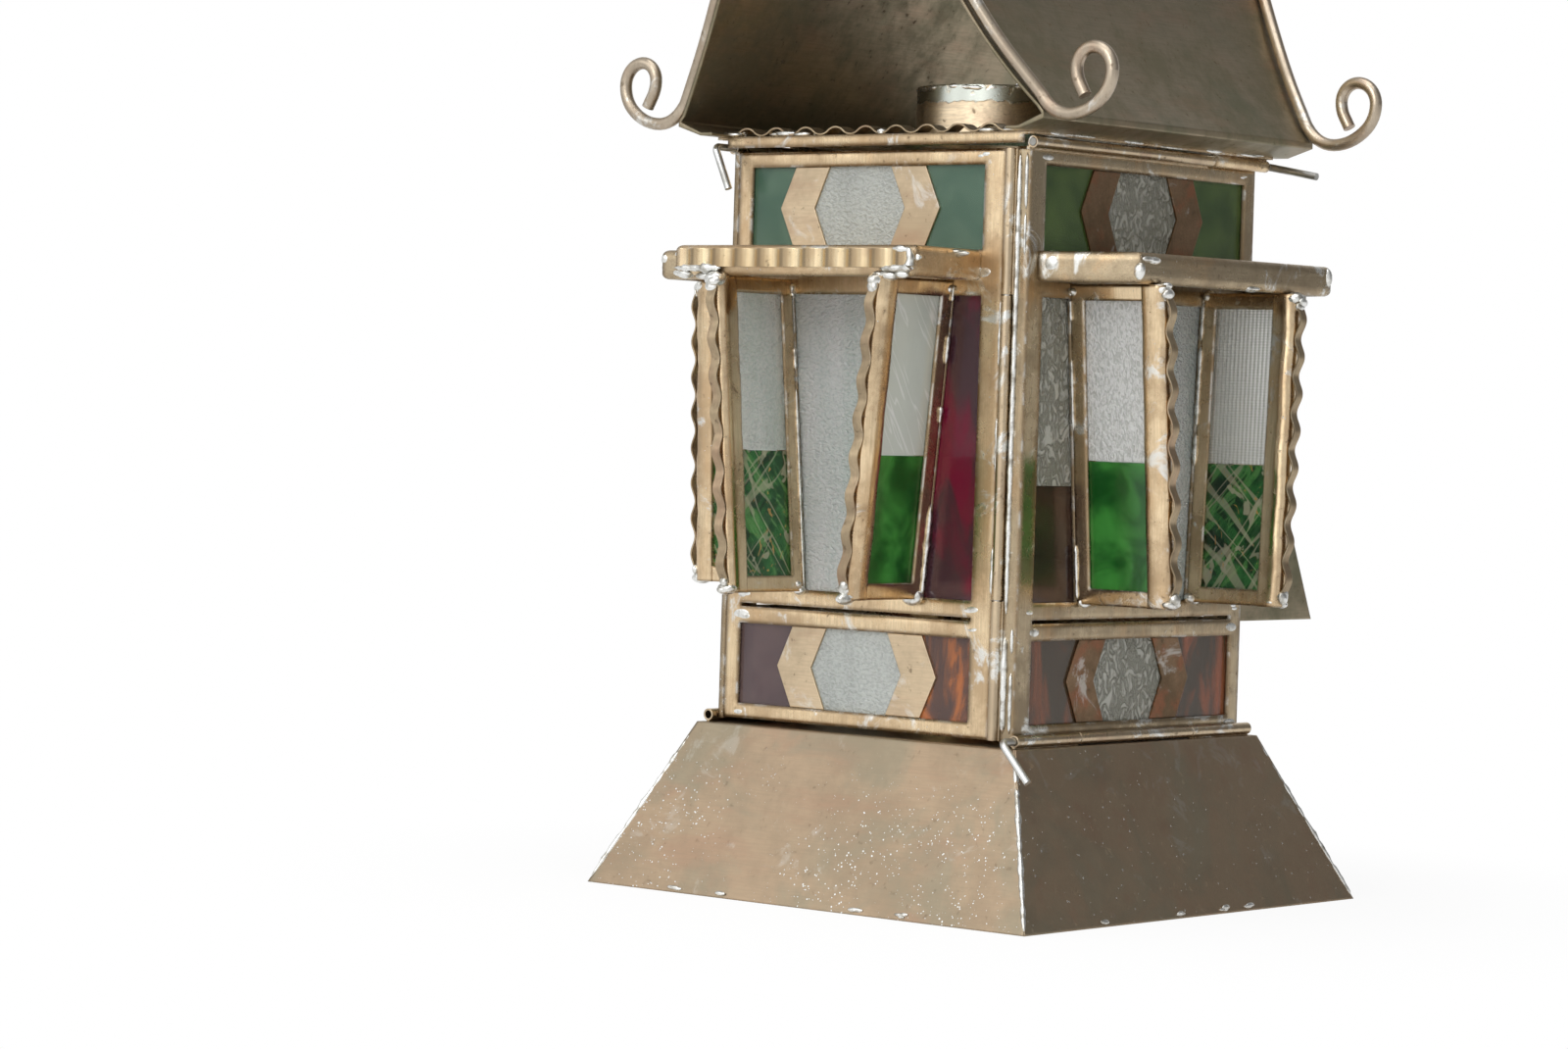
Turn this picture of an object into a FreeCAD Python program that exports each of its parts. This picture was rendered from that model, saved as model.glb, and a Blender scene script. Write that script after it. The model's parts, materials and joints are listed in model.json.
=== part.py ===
"""Oil lantern of soldered brass channel, bent sheet and coloured glass.

The lantern stands on a flared base. A square glazed housing tips to the right on a hinge row of the
base, so that the lamp on the base's floor can be reached. The front face is a door on an upright
hinge at the right front corner, and the lid tips to the right on a hinge row of the housing. The
lid carries a smoke collar under a gable roof that is open at both ends.

X runs to the right as seen from the door, Y to the rear, Z up, in millimetres. The origin is the
middle of the base's foot.
"""
import FreeCAD, Part
import math
import os

import Sketcher
from FreeCAD import Placement, Rotation, Vector

SIZES = {
    # base
    "base_shoulder": 4.0,
    "base_flare": 20.0,
    "base_height": 44.0,
    "base_sheet": 0.9,
    "floor_sheet": 0.8,
    # hinge rows: tubes, wire pins and the gaps between them
    "tube_radius": 1.6,
    "pin_radius": 1.0,
    "pin_clearance": 0.1,
    "hinge_gap": 0.3,
    "row_overrun": 2.0,
    "latch_row_inset": 1.4,
    "lid_tube_inset": 2.0,
    "seat_width": 0.9,
    "pin_bend_radius": 1.6,
    "base_pin_tail": 13.0,
    "base_pin_tail_angle": 42.0,
    "base_pin_overhang": 5.0,
    "lid_pin_tail": 16.0,
    "lid_pin_tail_angle": 80.0,
    "latch_pin_tail": 12.5,
    "base_latch_tail_angle": 75.0,
    "lid_latch_tail_angle": 25.0,
    "latch_pin_travel": 5.0,
    # housing faces
    "body_half": 50.0,
    "body_lift": 1.2,
    "wall_depth": 4.4,
    "rail_width": 4.4,
    "panel_gap": 1.0,
    "low_window_height": 21.6,
    "middle_window_height": 78.4,
    "ledge_rail_width": 7.4,
    "frieze_window_height": 21.9,
    "stile_width": 4.6,
    "corner_stile_width": 6.6,
    "door_end_gap": 0.4,
    "door_lip": 1.5,
    "divider_width": 4.0,
    # glass in its channels
    "glass_thickness": 2.0,
    "glass_play": 0.2,
    "glass_bite": 1.2,
    "glass_joint": 0.2,
    "glass_setback": 1.2,
    "split_pane_height": 30.0,
    "chevron_sheet": 0.6,
    "door_frieze_shift": 3.6,
    # fins and ledges
    "fin_reach": 27.0,
    "fin_width": 4.0,
    "fin_post_depth": 4.2,
    "fin_rail_height": 4.2,
    "fin_nose": 1.6,
    "fin_foot_drop": 0.4,
    "fin_green_height": 33.0,
    "ledge_height": 8.0,
    "ledge_sheet": 0.8,
    "ledge_lip": 2.4,
    "ledge_nose": 1.6,
    "door_ledge_left_inset": 4.0,
    "door_ledge_right_inset": 15.0,
    "side_ledge_root_inset": 4.0,
    "side_ledge_near_inset": 11.5,
    "side_ledge_far_inset": 2.0,
    # corrugated ribbons
    "ribbon_rise": 1.3,
    "ribbon_sheet": 0.45,
    "ribbon_width": 4.8,
    "fin_ribbon_foot": 3.0,
    "fin_ribbon_head": 2.6,
    "ledge_ribbon_inset": 2.0,
    "plate_ribbon_inset": 7.2,
    "frill_rise": 1.9,
    "ribbon_edge": 1.0,
    # rear hood
    "rear_panel_height": 10.0,
    "hood_reach": 34.5,
    "hood_drop": 76.0,
    "hood_sheet": 0.8,
    "hood_seat": 1.6,
    # lid plate and smoke collar
    "lid_axis_rise": 1.0,
    "plate_overhang": 3.4,
    "plate_sheet": 0.8,
    "lip_depth": 2.2,
    "lip_end_gap": 0.5,
    "collar_radius": 22.0,
    "collar_sheet": 0.9,
    "collar_height": 15.3,
    "plate_ribbon_edge": 0.4,
    # gable roof
    "knee_inset": 15.4,
    "knee_rise": 38.8,
    "eave_rise": 4.2,
    "eave_angle": 15.0,
    "gable_knee_overhang": 17.9,
    "gable_foot_rise": 5.5,
    "gable_angle": 13.4,
    "roof_sheet": 0.8,
    "soffit_bite": 3.9,
    "fold_drop": 1.7,
    "ridge_gap": 0.3,
    "cap_leg": 6.0,
    "cap_sheet": 0.8,
    # wire ribs and their scrolls
    "rib_radius": 1.65,
    "rib_seat_gap": 0.1,
    "rib_top_gap": 1.0,
    "rib_middle_angle": 7.0,
    "rib_leave_angle": 13.5,
    "scroll_overhang": 6.2,
    "scroll_lead": 2.0,
    "scroll_foot_radius": 10.0,
    "scroll_sweep_radius": 14.5,
    "scroll_rise_radius": 9.0,
    "scroll_top_radius": 6.0,
    "scroll_inner_radius": 5.0,
    "scroll_end_radius": 8.0,
    "scroll_tail": 3.5,
    # hanging eye and ring
    "eye_radius": 3.7,
    "eye_wire": 1.1,
    "eye_stem_radius": 1.6,
    "eye_rise": 5.1,
    "ring_radius": 16.0,
    "ring_wire": 1.2,
    "ring_rest_angle": 24.5,
    # lamp
    "tank_radius": 26.0,
    "tank_wall": 0.8,
    "tank_side_height": 17.0,
    "tank_shoulder_rise": 6.0,
    "tank_shoulder_radius": 22.0,
    "tank_neck_radius": 9.5,
    "tank_neck_height": 5.0,
    "tank_ring_play": 0.3,
    "tank_ring_height": 4.0,
    "tank_ring_flange": 4.0,
    "cap_play": 0.2,
    "cap_wall": 1.0,
    "cap_drop": 4.0,
    "wick_width": 11.0,
    "wick_thickness": 2.0,
    "wick_play": 0.3,
    "wick_tube_wall": 0.7,
    "wick_tube_drop": 3.0,
    "wick_tube_rise": 18.0,
    "wick_stand": 1.2,
    "wick_drop": 20.0,
    "dome_foot_radius": 14.0,
    "dome_top_radius": 8.0,
    "dome_foot_rise": 9.5,
    "dome_height": 11.0,
    "dome_sheet": 0.8,
    "dome_slot_play": 1.6,
    "gallery_sheet": 1.0,
    "shaft_radius": 0.9,
    "shaft_play": 0.1,
    "shaft_rise": 5.0,
    "shaft_front": 27.0,
    "lug_width": 1.2,
    "lug_half": 2.4,
    "wheel_radius": 2.2,
    "wheel_width": 1.6,
    "wheel_gap": 0.2,
    "knob_radius": 5.2,
    "knob_width": 2.4,
    "knob_flute_radius": 0.9,
    "cut_overrun": 2.0,
}
MIDDLE_TUBE_SHARE = 0.496
CHEVRON_OUTER_SHARES = (0.44, 0.54)
CHEVRON_INNER_SHARES = (0.21, 0.308)
DOOR_FIN_FOOT_SHARE = 0.4
DOOR_FIN_TOP_SHARE = 0.548
SIDE_FIN_FOOT_SHARES = (0.45, 0.53)
SIDE_FIN_TOP_SHARE = 0.596
ROOF_SLOPE_SHARE = 0.5
GABLE_LEAN_SHARE = 0.2
SCROLL_TURNS = (45.0, 45.0, 90.0, 90.0, 30.0)
FIN_WAVES = 8
LEDGE_WAVES = 10
PLATE_WAVES = 9
KNOB_FLUTES = 12
LARGEST_ARC_SHARE = 0.45


class Size:
    """A number together with the sheet expression that gives it."""

    def __init__(self, value, text=None):
        self.value = float(value)
        self.text = repr(float(value)) if text is None else text

    @staticmethod
    def of(item):
        return item if isinstance(item, Size) else Size(item)

    def __add__(self, other):
        other = Size.of(other)
        return Size(self.value + other.value, f"({self.text} + {other.text})")

    def __sub__(self, other):
        other = Size.of(other)
        return Size(self.value - other.value, f"({self.text} - {other.text})")

    def __mul__(self, other):
        other = Size.of(other)
        return Size(self.value * other.value, f"({self.text} * {other.text})")

    def __truediv__(self, other):
        other = Size.of(other)
        return Size(self.value / other.value, f"({self.text} / {other.text})")

    def __radd__(self, other):
        return Size.of(other) + self

    def __rsub__(self, other):
        return Size.of(other) - self

    def __rmul__(self, other):
        return Size.of(other) * self

    def __neg__(self):
        return Size(-self.value, f"(-1 * {self.text})")


class Dims:
    """The driving sizes, read by name; each is a cell of the sheet with its name as alias."""

    def __init__(self, document):
        self.sheet = document.addObject("Spreadsheet::Sheet", "dims")
        for row, (alias, value) in enumerate(SIZES.items(), 1):
            self.sheet.set(f"A{row}", alias)
            self.sheet.set(f"B{row}", str(value))
            self.sheet.setAlias(f"B{row}", alias)
        document.recompute()

    def __getattr__(self, alias):
        return Size(SIZES[alias], f"dims.{alias}")


def sine(angle):
    return Size(math.sin(math.radians(angle.value)), f"sin({angle.text} * 1 deg)")


def cosine(angle):
    return Size(math.cos(math.radians(angle.value)), f"cos({angle.text} * 1 deg)")


def arc_tangent(rise):
    """Angle in degrees whose tangent is the given size."""
    rise = Size.of(rise)
    return Size(math.degrees(math.atan(rise.value)), f"(atan({rise.text}) / 1 deg)")


document = FreeCAD.newDocument("lantern")
d = Dims(document)
nodes = []


def keep(item, name):
    """Marks a document object as one sub-part of the lantern under its node name."""
    item.Label = name
    nodes.append(item)
    return item


def place(item, x=0, y=0, z=0, rotation=None):
    """Puts an object at a place bound to the sheet, turned by a rotation."""
    spots = [Size.of(x), Size.of(y), Size.of(z)]
    item.Placement = Placement(Vector(*[spot.value for spot in spots]), rotation or Rotation())
    for axis, spot in zip("xyz", spots):
        item.setExpression(f"Placement.Base.{axis}", spot.text)
    return item


def bind(item, **sizes):
    """Binds properties of an object to sizes of the sheet."""
    for name, size in sizes.items():
        item.setExpression(name, Size.of(size).text)
    return item


def new_body(name):
    return document.addObject("PartDesign::Body", name)


def new_sketch(body, role, offset=0):
    """A sketch on one of the body's own origin planes, moved along the plane's normal."""
    sketch = body.newObject("Sketcher::SketchObject", f"{body.Name}_sketch")
    plane = next(item for item in body.Origin.OriginFeatures if item.Role == role)
    sketch.AttachmentSupport = [(plane, "")]
    sketch.MapMode = "FlatFace"
    sketch.setExpression("AttachmentOffset.Base.z", Size.of(offset).text)
    return sketch


def pin_point(sketch, geometry, end, spot):
    """Fixes one end of a sketch line or arc to a place bound to the sheet."""
    for kind, size in zip(("DistanceX", "DistanceY"), spot):
        size = Size.of(size)
        index = sketch.addConstraint(Sketcher.Constraint(kind, -1, 1, geometry, end, size.value))
        sketch.setExpression(f"Constraints[{index}]", size.text)


def outline(sketch, spots, arcs=None):
    """Draws a closed outline through bound points.

    arcs maps the index of a side to its bound radius and its bulge: +1 when the arc's middle lies
    to the right of the way from its start to its end, and -1 when it lies to the left.
    """
    arcs = arcs or {}
    ends = [Vector(Size.of(x).value, Size.of(y).value, 0) for x, y in spots]
    count = len(spots)
    first = sketch.GeometryCount
    turned = set()
    for side in range(count):
        start, stop = ends[side], ends[(side + 1) % count]
        if side not in arcs:
            sketch.addGeometry(Part.LineSegment(start, stop))
            continue
        radius, bulge = arcs[side]
        chord = stop - start
        across = Vector(chord.y, -chord.x, 0).normalize() * bulge
        rise = radius.value - math.sqrt(radius.value ** 2 - (chord.Length / 2) ** 2)
        sketch.addGeometry(Part.Arc(start, (start + stop) / 2 + across * rise, stop))
        if bulge < 0:
            turned.add(side)
    def near(side):
        return 2 if side in turned else 1
    def far(side):
        return 1 if side in turned else 2
    for side in range(count):
        after = (side + 1) % count
        sketch.addConstraint(
            Sketcher.Constraint("Coincident", first + side, far(side), first + after, near(after)))
        pin_point(sketch, first + side, near(side), spots[side])
        if side in arcs:
            radius = arcs[side][0]
            index = sketch.addConstraint(Sketcher.Constraint("Radius", first + side, radius.value))
            sketch.setExpression(f"Constraints[{index}]", radius.text)


def rectangle(sketch, left, right, low, high):
    outline(sketch, [(left, low), (right, low), (right, high), (left, high)])


def pad(body, sketch, length, reverse=False, both=False):
    feature = body.newObject("PartDesign::Pad", f"{body.Name}_pad")
    feature.Profile = sketch
    feature.Reversed = reverse
    feature.Midplane = both
    bind(feature, Length=length)
    return feature


def pocket(body, sketch, length, reverse=False, both=False):
    """Cuts a sketch out of the body and stops when that takes nothing away."""
    document.recompute()
    before = body.Shape.Volume
    feature = body.newObject("PartDesign::Pocket", f"{body.Name}_pocket")
    feature.Profile = sketch
    feature.Reversed = reverse
    feature.Midplane = both
    bind(feature, Length=length)
    document.recompute()
    if not body.Shape.Volume < before:
        raise RuntimeError(f"{feature.Name} cuts nothing")
    return feature


def revolve(body, sketch):
    feature = body.newObject("PartDesign::Revolution", f"{body.Name}_revolve")
    feature.Profile = sketch
    feature.ReferenceAxis = (sketch, ["V_Axis"])
    return feature


def cylinder(name, radius, height, **spot):
    return place(bind(document.addObject("Part::Cylinder", name), Radius=radius, Height=height), **spot)


def box(name, left, right, front, back, low, high):
    item = document.addObject("Part::Box", name)
    bind(item, Length=right - left, Width=back - front, Height=high - low)
    return place(item, left, front, low)


def fused(name, items):
    item = document.addObject("Part::MultiFuse", name)
    item.Shapes = items
    item.Refine = True
    return item


def cut(name, base, tool):
    item = document.addObject("Part::Cut", name)
    item.Base, item.Tool = base, tool
    return item


def group(name, items, rotation=None):
    """Separate solids that share one node, turned together about the lantern's axis."""
    item = document.addObject("Part::Compound", name)
    item.Links = items
    item.Placement = Placement(Vector(), rotation or Rotation())
    return keep(item, name)


def shaped(name, shape, placement=None):
    """An object whose form is worked out in code."""
    item = document.addObject("Part::Feature", name)
    item.Shape = shape
    item.Placement = placement or Placement()
    return item


UP = Vector(0, 0, 1)
ALONG_Y = Rotation(Vector(1, 0, 0), -90)
FRONT, RIGHT, REAR, LEFT = (Rotation(UP, turn) for turn in (0, 90, 180, 270))

# Half widths that follow from the housing's
base_top_half = d.body_half + d.base_shoulder
base_foot_half = base_top_half + d.base_flare
plate_half = d.body_half + d.plate_overhang
row_half = d.body_half + d.row_overrun
latch_row_end = d.body_half - d.latch_row_inset
middle_tube_half = d.body_half * MIDDLE_TUBE_SHARE
lid_tube_start = middle_tube_half + d.lid_tube_inset
chevron_outer = [d.body_half * share for share in CHEVRON_OUTER_SHARES]
chevron_inner = [d.body_half * share for share in CHEVRON_INNER_SHARES]

# Heights of the housing, from its foot to its top
body_low = d.base_height + d.body_lift
low_window = body_low + d.rail_width
low_window_top = low_window + d.low_window_height
slot_low = low_window_top + d.rail_width
slot_top = slot_low + d.panel_gap
middle_window = slot_top + d.rail_width
middle_window_top = middle_window + d.middle_window_height
frieze_window = middle_window_top + d.rail_width + d.ledge_rail_width
frieze_window_top = frieze_window + d.frieze_window_height
body_top = frieze_window_top + d.rail_width
ledge_low = frieze_window - d.ledge_height

# Hinge axes: the two rows beside the housing, and the door's upright axis
row_reach = d.body_half + d.hinge_gap + d.tube_radius
base_axis_height = d.base_height + d.hinge_gap + d.tube_radius
lid_axis_height = body_top + d.lid_axis_rise
inner_half = d.body_half - d.wall_depth
door_axis_reach = inner_half - d.hinge_gap - d.tube_radius
door_right = door_axis_reach - d.tube_radius - d.hinge_gap
door_left = -(d.body_half - d.door_lip - d.hinge_gap)
door_middle = (door_left + door_right) / 2
bore_radius = d.pin_radius + d.pin_clearance
seat_skin = d.hinge_gap + (d.tube_radius - bore_radius) / 2
plate_low = lid_axis_height + d.tube_radius + d.hinge_gap
plate_top = plate_low + d.plate_sheet


# Base

def base_panels():
    """Four sloping sheets mitred at the corners, and the floor that closes them at the top."""
    slope = (base_foot_half - base_top_half) / d.base_height
    run = d.base_sheet * Size(math.hypot(1, slope.value), f"sqrt(1 + {slope.text} ^ 2)")
    for name, turn in (("front", FRONT), ("right", RIGHT), ("rear", REAR), ("left", LEFT)):
        body = new_body(f"base_panel_{name}")
        sections = []
        for half, height in ((base_foot_half, 0), (base_top_half, d.base_height)):
            sketch = new_sketch(body, "XY_Plane", height)
            outline(sketch, [(-half, -half), (half, -half), (half - run, run - half),
                             (run - half, run - half)])
            sections.append(sketch)
        loft = body.newObject("PartDesign::AdditiveLoft", f"base_panel_{name}_loft")
        loft.Profile = sections[0]
        loft.Sections = sections[1:]
        loft.Ruled = True
        body.Placement = Placement(Vector(), turn)
        keep(body, f"base_panel_{name}")
    floor_half = base_top_half - run
    keep(box("base_floor", -floor_half, floor_half, -floor_half, floor_half,
             d.base_height - d.floor_sheet, d.base_height), "base_floor")


def seated_tube(name, x, y, z, length, rotation, seat):
    """A hinge tube with the strip of solder that ties it to its carrier, given by its six sides."""
    outer = cylinder(f"{name}_wall", d.tube_radius, length, x=x, y=y, z=z, rotation=rotation)
    bore = cylinder(f"{name}_bore", bore_radius, length, x=x, y=y, z=z, rotation=rotation)
    return fused(name, [cut(f"{name}_tube", outer, bore), box(f"{name}_seat", *seat)])


def floor_tube(name, start, stop, side):
    """A tube of a foot row that stands on the base's floor."""
    reach, half = side * row_reach, d.seat_width / 2
    seat = (reach - half, reach + half, start, stop, d.base_height, d.base_height + seat_skin)
    return seated_tube(name, reach, start, base_axis_height, stop - start, ALONG_Y, seat)


def plate_tube(name, start, stop, side):
    """A tube of a top row that hangs under the lid plate."""
    reach, half = side * row_reach, d.seat_width / 2
    seat = (reach - half, reach + half, start, stop, plate_low - seat_skin, plate_low)
    return seated_tube(name, reach, start, lid_axis_height, stop - start, ALONG_Y, seat)


def wall_tube(name, start, stop, side, height, seat_height, seat_depth):
    """A tube beside the housing's wall, soldered to it at a height of its own."""
    wall, half = side * d.body_half, d.seat_width / 2
    edges = (wall, wall + seat_depth) if side > 0 else (wall - seat_depth, wall)
    seat = (*edges, start, stop, seat_height - half, seat_height + half)
    return seated_tube(name, side * row_reach, start, height, stop - start, ALONG_Y, seat)


def upright_tube(name, low, high, side):
    """A tube of the door's hinge, with its seat to the door (-1) or to the corner post (+1)."""
    front = -d.body_half
    rim = door_axis_reach + side * (d.tube_radius + d.hinge_gap)
    edges = (rim - seat_skin, rim) if side > 0 else (rim, rim + seat_skin)
    seat = (*edges, front, front + d.seat_width, low, high)
    return seated_tube(name, door_axis_reach, front, low, high - low, Rotation(), seat)


def bent_pin(name, length, tail):
    """A wire pin along local X whose end is bent to local -Y."""
    body = new_body(name)
    path = new_sketch(body, "XY_Plane")
    bend = d.pin_bend_radius
    spots = [(0, 0), (length - bend, 0), (length, -bend), (length, -tail)]
    corners = [Vector(Size.of(x).value, Size.of(y).value, 0) for x, y in spots]
    path.addGeometry(Part.LineSegment(corners[0], corners[1]))
    dip = bend.value * (1 - math.sqrt(1 / 2))
    path.addGeometry(Part.Arc(corners[1], corners[1] + Vector(bend.value - dip, -dip, 0), corners[2]))
    path.addGeometry(Part.LineSegment(corners[2], corners[3]))
    pin_point(path, 0, 1, spots[0])
    pin_point(path, 0, 2, spots[1])
    pin_point(path, 2, 1, spots[2])
    pin_point(path, 2, 2, spots[3])
    path.addConstraint(Sketcher.Constraint("Coincident", 1, 2, 0, 2))
    path.addConstraint(Sketcher.Constraint("Coincident", 1, 1, 2, 1))
    turn = path.addConstraint(Sketcher.Constraint("Radius", 1, bend.value))
    path.setExpression(f"Constraints[{turn}]", bend.text)
    section = new_sketch(body, "YZ_Plane")
    section.addGeometry(Part.Circle(Vector(), Vector(0, 0, 1), d.pin_radius.value))
    section.addConstraint(Sketcher.Constraint("Coincident", 0, 3, -1, 1))
    wide = section.addConstraint(Sketcher.Constraint("Radius", 0, d.pin_radius.value))
    section.setExpression(f"Constraints[{wide}]", d.pin_radius.text)
    pipe = body.newObject("PartDesign::AdditivePipe", f"{name}_pipe")
    pipe.Profile = section
    pipe.Spine = (path, ["Edge1", "Edge2", "Edge3"])
    return body


def pin_turn(forward, tail_angle):
    """Rotation of a bent pin: its length along +Y or -Y, its tail leaning out from straight down."""
    lean = math.radians(tail_angle)
    along = Vector(0, forward, 0)
    up = Vector(-math.sin(lean), 0, math.cos(lean))
    return Rotation(along, up, along.cross(up), "XYZ")


def base_rows():
    """The base's tubes of both rows, the hinge pin on the right and the drawn pin on the left."""
    start = middle_tube_half + d.hinge_gap
    group("base_hinge_tubes", [floor_tube("base_tube_right_front", -row_half, -start, 1),
                               floor_tube("base_tube_right_rear", start, row_half, 1)])
    group("base_latch_tubes", [floor_tube("base_tube_left_front", -row_half, -start, -1),
                               floor_tube("base_tube_left_rear", start, latch_row_end, -1)])
    pin = bent_pin("base_hinge_pin", row_half * 2 + d.base_pin_overhang, d.base_pin_tail)
    place(pin, row_reach, row_half, base_axis_height, pin_turn(-1, d.base_pin_tail_angle.value))
    keep(pin, "base_hinge_pin")
    latch = bent_pin("base_latch_pin", latch_row_end - start + d.latch_pin_travel + d.pin_bend_radius
                     + d.pin_radius, d.latch_pin_tail)
    place(latch, -row_reach, start, base_axis_height, pin_turn(1, -d.base_latch_tail_angle.value))
    keep(latch, "base_latch_pin")


# Lamp on the base's floor

def revolved(name, spots, arcs=None, height=0):
    """A turned piece about the lantern's axis from an outline of radius and height."""
    body = new_body(name)
    outline(new_sketch(body, "XZ_Plane"), spots, arcs)
    revolve(body, body.Group[-1])
    return place(body, 0, 0, height)


def font():
    """Retaining ring on the floor and the hollow oil font that stands in it."""
    inner = d.tank_radius + d.tank_ring_play
    wall = d.tank_wall
    keep(revolved("font_ring", [
        (inner, 0), (inner + d.tank_ring_flange, 0), (inner + d.tank_ring_flange, wall),
        (inner + wall, wall), (inner + wall, d.tank_ring_height), (inner, d.tank_ring_height)],
        height=d.base_height), "font_ring")
    side, neck = d.tank_side_height, d.tank_neck_radius
    shoulder = side + d.tank_shoulder_rise
    top = shoulder + d.tank_neck_height
    keep(revolved("oil_font", [
        (0, 0), (d.tank_radius, 0), (d.tank_radius, side), (neck, shoulder), (neck, top),
        (neck - wall, top), (neck - wall, shoulder - wall), (d.tank_radius - wall, side - wall),
        (d.tank_radius - wall, wall), (0, wall)],
        {2: (d.tank_shoulder_radius, 1), 6: (d.tank_shoulder_radius - wall, -1)},
        height=d.base_height), "oil_font")


def burner():
    """Screw cap with a flat wick tube, a gallery, a slotted dome and two lugs for the wick shaft."""
    neck_top = d.tank_side_height + d.tank_shoulder_rise + d.tank_neck_height + d.base_height
    inner = d.tank_neck_radius + d.cap_play
    outer = inner + d.cap_wall
    low, top = -d.cap_drop, d.cap_wall
    cap = revolved("burner_cap", [(0, 0), (inner, 0), (inner, low), (outer, low), (outer, top), (0, top)],
                   height=neck_top)
    foot, crown = d.dome_foot_rise, d.dome_foot_rise + d.dome_height
    sheet = d.dome_sheet
    dome = revolved("burner_dome", [
        (0, foot), (d.dome_foot_radius, foot), (d.dome_foot_radius, foot + d.gallery_sheet),
        (d.dome_top_radius, crown), (0, crown), (0, crown - sheet), (d.dome_top_radius - sheet, crown - sheet),
        (d.dome_foot_radius - sheet - sheet, foot + d.gallery_sheet), (0, foot + d.gallery_sheet)],
        height=neck_top)
    slot_x = d.wick_thickness / 2 + d.wick_play
    slot_y = d.wick_width / 2 + d.wick_play
    tube_x, tube_y = slot_x + d.wick_tube_wall, slot_y + d.wick_tube_wall
    tube_low, tube_top = neck_top - d.wick_tube_drop, neck_top + d.wick_tube_rise
    tube = box("wick_tube", -tube_x, tube_x, -tube_y, tube_y, tube_low, tube_top)
    open_x, open_y = tube_x + d.dome_slot_play, tube_y + d.dome_slot_play
    dome_slot = box("dome_slot", -open_x, open_x, -open_y, open_y,
                    neck_top + foot + d.gallery_sheet, neck_top + crown + d.cut_overrun)
    shaft_height = neck_top + d.shaft_rise
    shaft_reach = d.wick_thickness / 2 + d.wheel_gap + d.wheel_radius
    lugs = []
    for name, side in (("front", -1), ("rear", 1)):
        near = side * (d.wheel_width / 2 + d.wheel_gap)
        far = near + side * d.lug_width
        edges = (near, far) if side > 0 else (far, near)
        lugs.append(box(f"shaft_lug_{name}", tube_x - d.wick_tube_wall / 2, shaft_reach + d.lug_half / 2,
                        edges[0], edges[1], shaft_height - d.lug_half, shaft_height + d.lug_half))
    solid = fused("burner_solid", [cap, cut("burner_dome_slotted", dome, dome_slot), tube] + lugs)
    overrun = d.cut_overrun
    channel = box("wick_channel", -slot_x, slot_x, -slot_y, slot_y, tube_low - overrun, tube_top + overrun)
    bore = cylinder("shaft_bore", d.shaft_radius + d.shaft_play, d.wick_width, x=shaft_reach,
                    y=-d.wick_width / 2, z=shaft_height, rotation=ALONG_Y)
    window = cylinder("wheel_window", d.wheel_radius + d.wheel_gap, d.wheel_width + d.wheel_gap * 2,
                      x=shaft_reach, y=-(d.wheel_width / 2 + d.wheel_gap), z=shaft_height,
                      rotation=ALONG_Y)
    keep(cut("burner", solid, fused("burner_openings", [channel, bore, window])), "burner")
    keep(box("wick", -d.wick_thickness / 2, d.wick_thickness / 2, -d.wick_width / 2, d.wick_width / 2,
             neck_top - d.wick_drop, tube_top + d.wick_stand), "wick")
    return shaft_reach, shaft_height


def wick_shaft(reach, height):
    """The wire shaft with its toothed wheel beside the wick and a fluted knob at the front."""
    rod = cylinder("wick_rod", d.shaft_radius, d.shaft_front + d.lug_width * 2 + d.wheel_width, x=reach,
                   y=-d.shaft_front, z=height, rotation=ALONG_Y)
    wheel = cylinder("wick_wheel", d.wheel_radius, d.wheel_width, x=reach, y=-d.wheel_width / 2,
                     z=height, rotation=ALONG_Y)
    knob = new_body("wick_knob")
    face = new_sketch(knob, "XZ_Plane")
    flute, rim = d.knob_flute_radius, d.knob_radius
    step = 2 * math.pi / (2 * KNOB_FLUTES)
    spots, arcs = [], {}
    for index in range(2 * KNOB_FLUTES):
        turn = Size(math.degrees(index * step))
        spots.append((rim * cosine(turn), rim * sine(turn)))
        if index % 2:
            arcs[index] = (flute, -1)
    outline(face, spots, arcs)
    pad(knob, face, d.knob_width)
    place(knob, reach, -d.shaft_front, height)
    keep(fused("wick_shaft", [rod, wheel, knob]), "wick_shaft")


# Housing faces. Each is drawn as the front face and turned about the lantern's axis.

def fin_lines(top_half, foot_near, foot_far, middle):
    """Foot and top place, along the face, of the left and the right fin of a face."""
    return ((middle - foot_near, middle - top_half), (middle + foot_far, middle + top_half))


def lean_at(line, height):
    """Place along the face of a fin's middle line at a height."""
    foot, top = line
    share = (height - fin_low) / (ledge_low - fin_low)
    return foot + (top - foot) * share


fin_low = middle_window - d.fin_foot_drop
door_fin_foot = d.body_half * DOOR_FIN_FOOT_SHARE
side_fin_feet = [d.body_half * share for share in SIDE_FIN_FOOT_SHARES]
DOOR_FINS = fin_lines(d.body_half * DOOR_FIN_TOP_SHARE, door_fin_foot, door_fin_foot, door_middle)
SIDE_FINS = fin_lines(d.body_half * SIDE_FIN_TOP_SHARE, *side_fin_feet, Size(0))


def middle_panes(left, right, lines, inset):
    """Outlines of the three panes of a middle window, each inset or let out by the given size."""
    low, high = middle_window + inset, middle_window_top - inset
    half = d.divider_width / 2 + inset
    first, second = lines
    panes = []
    edges = [
        (lambda height: left + inset, lambda height: lean_at(first, height) - half),
        (lambda height: lean_at(first, height) + half, lambda height: lean_at(second, height) - half),
        (lambda height: lean_at(second, height) + half, lambda height: right - inset),
    ]
    for near, far in edges:
        panes.append([(near(low), low), (far(low), low), (far(high), high), (near(high), high)])
    return panes


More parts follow.
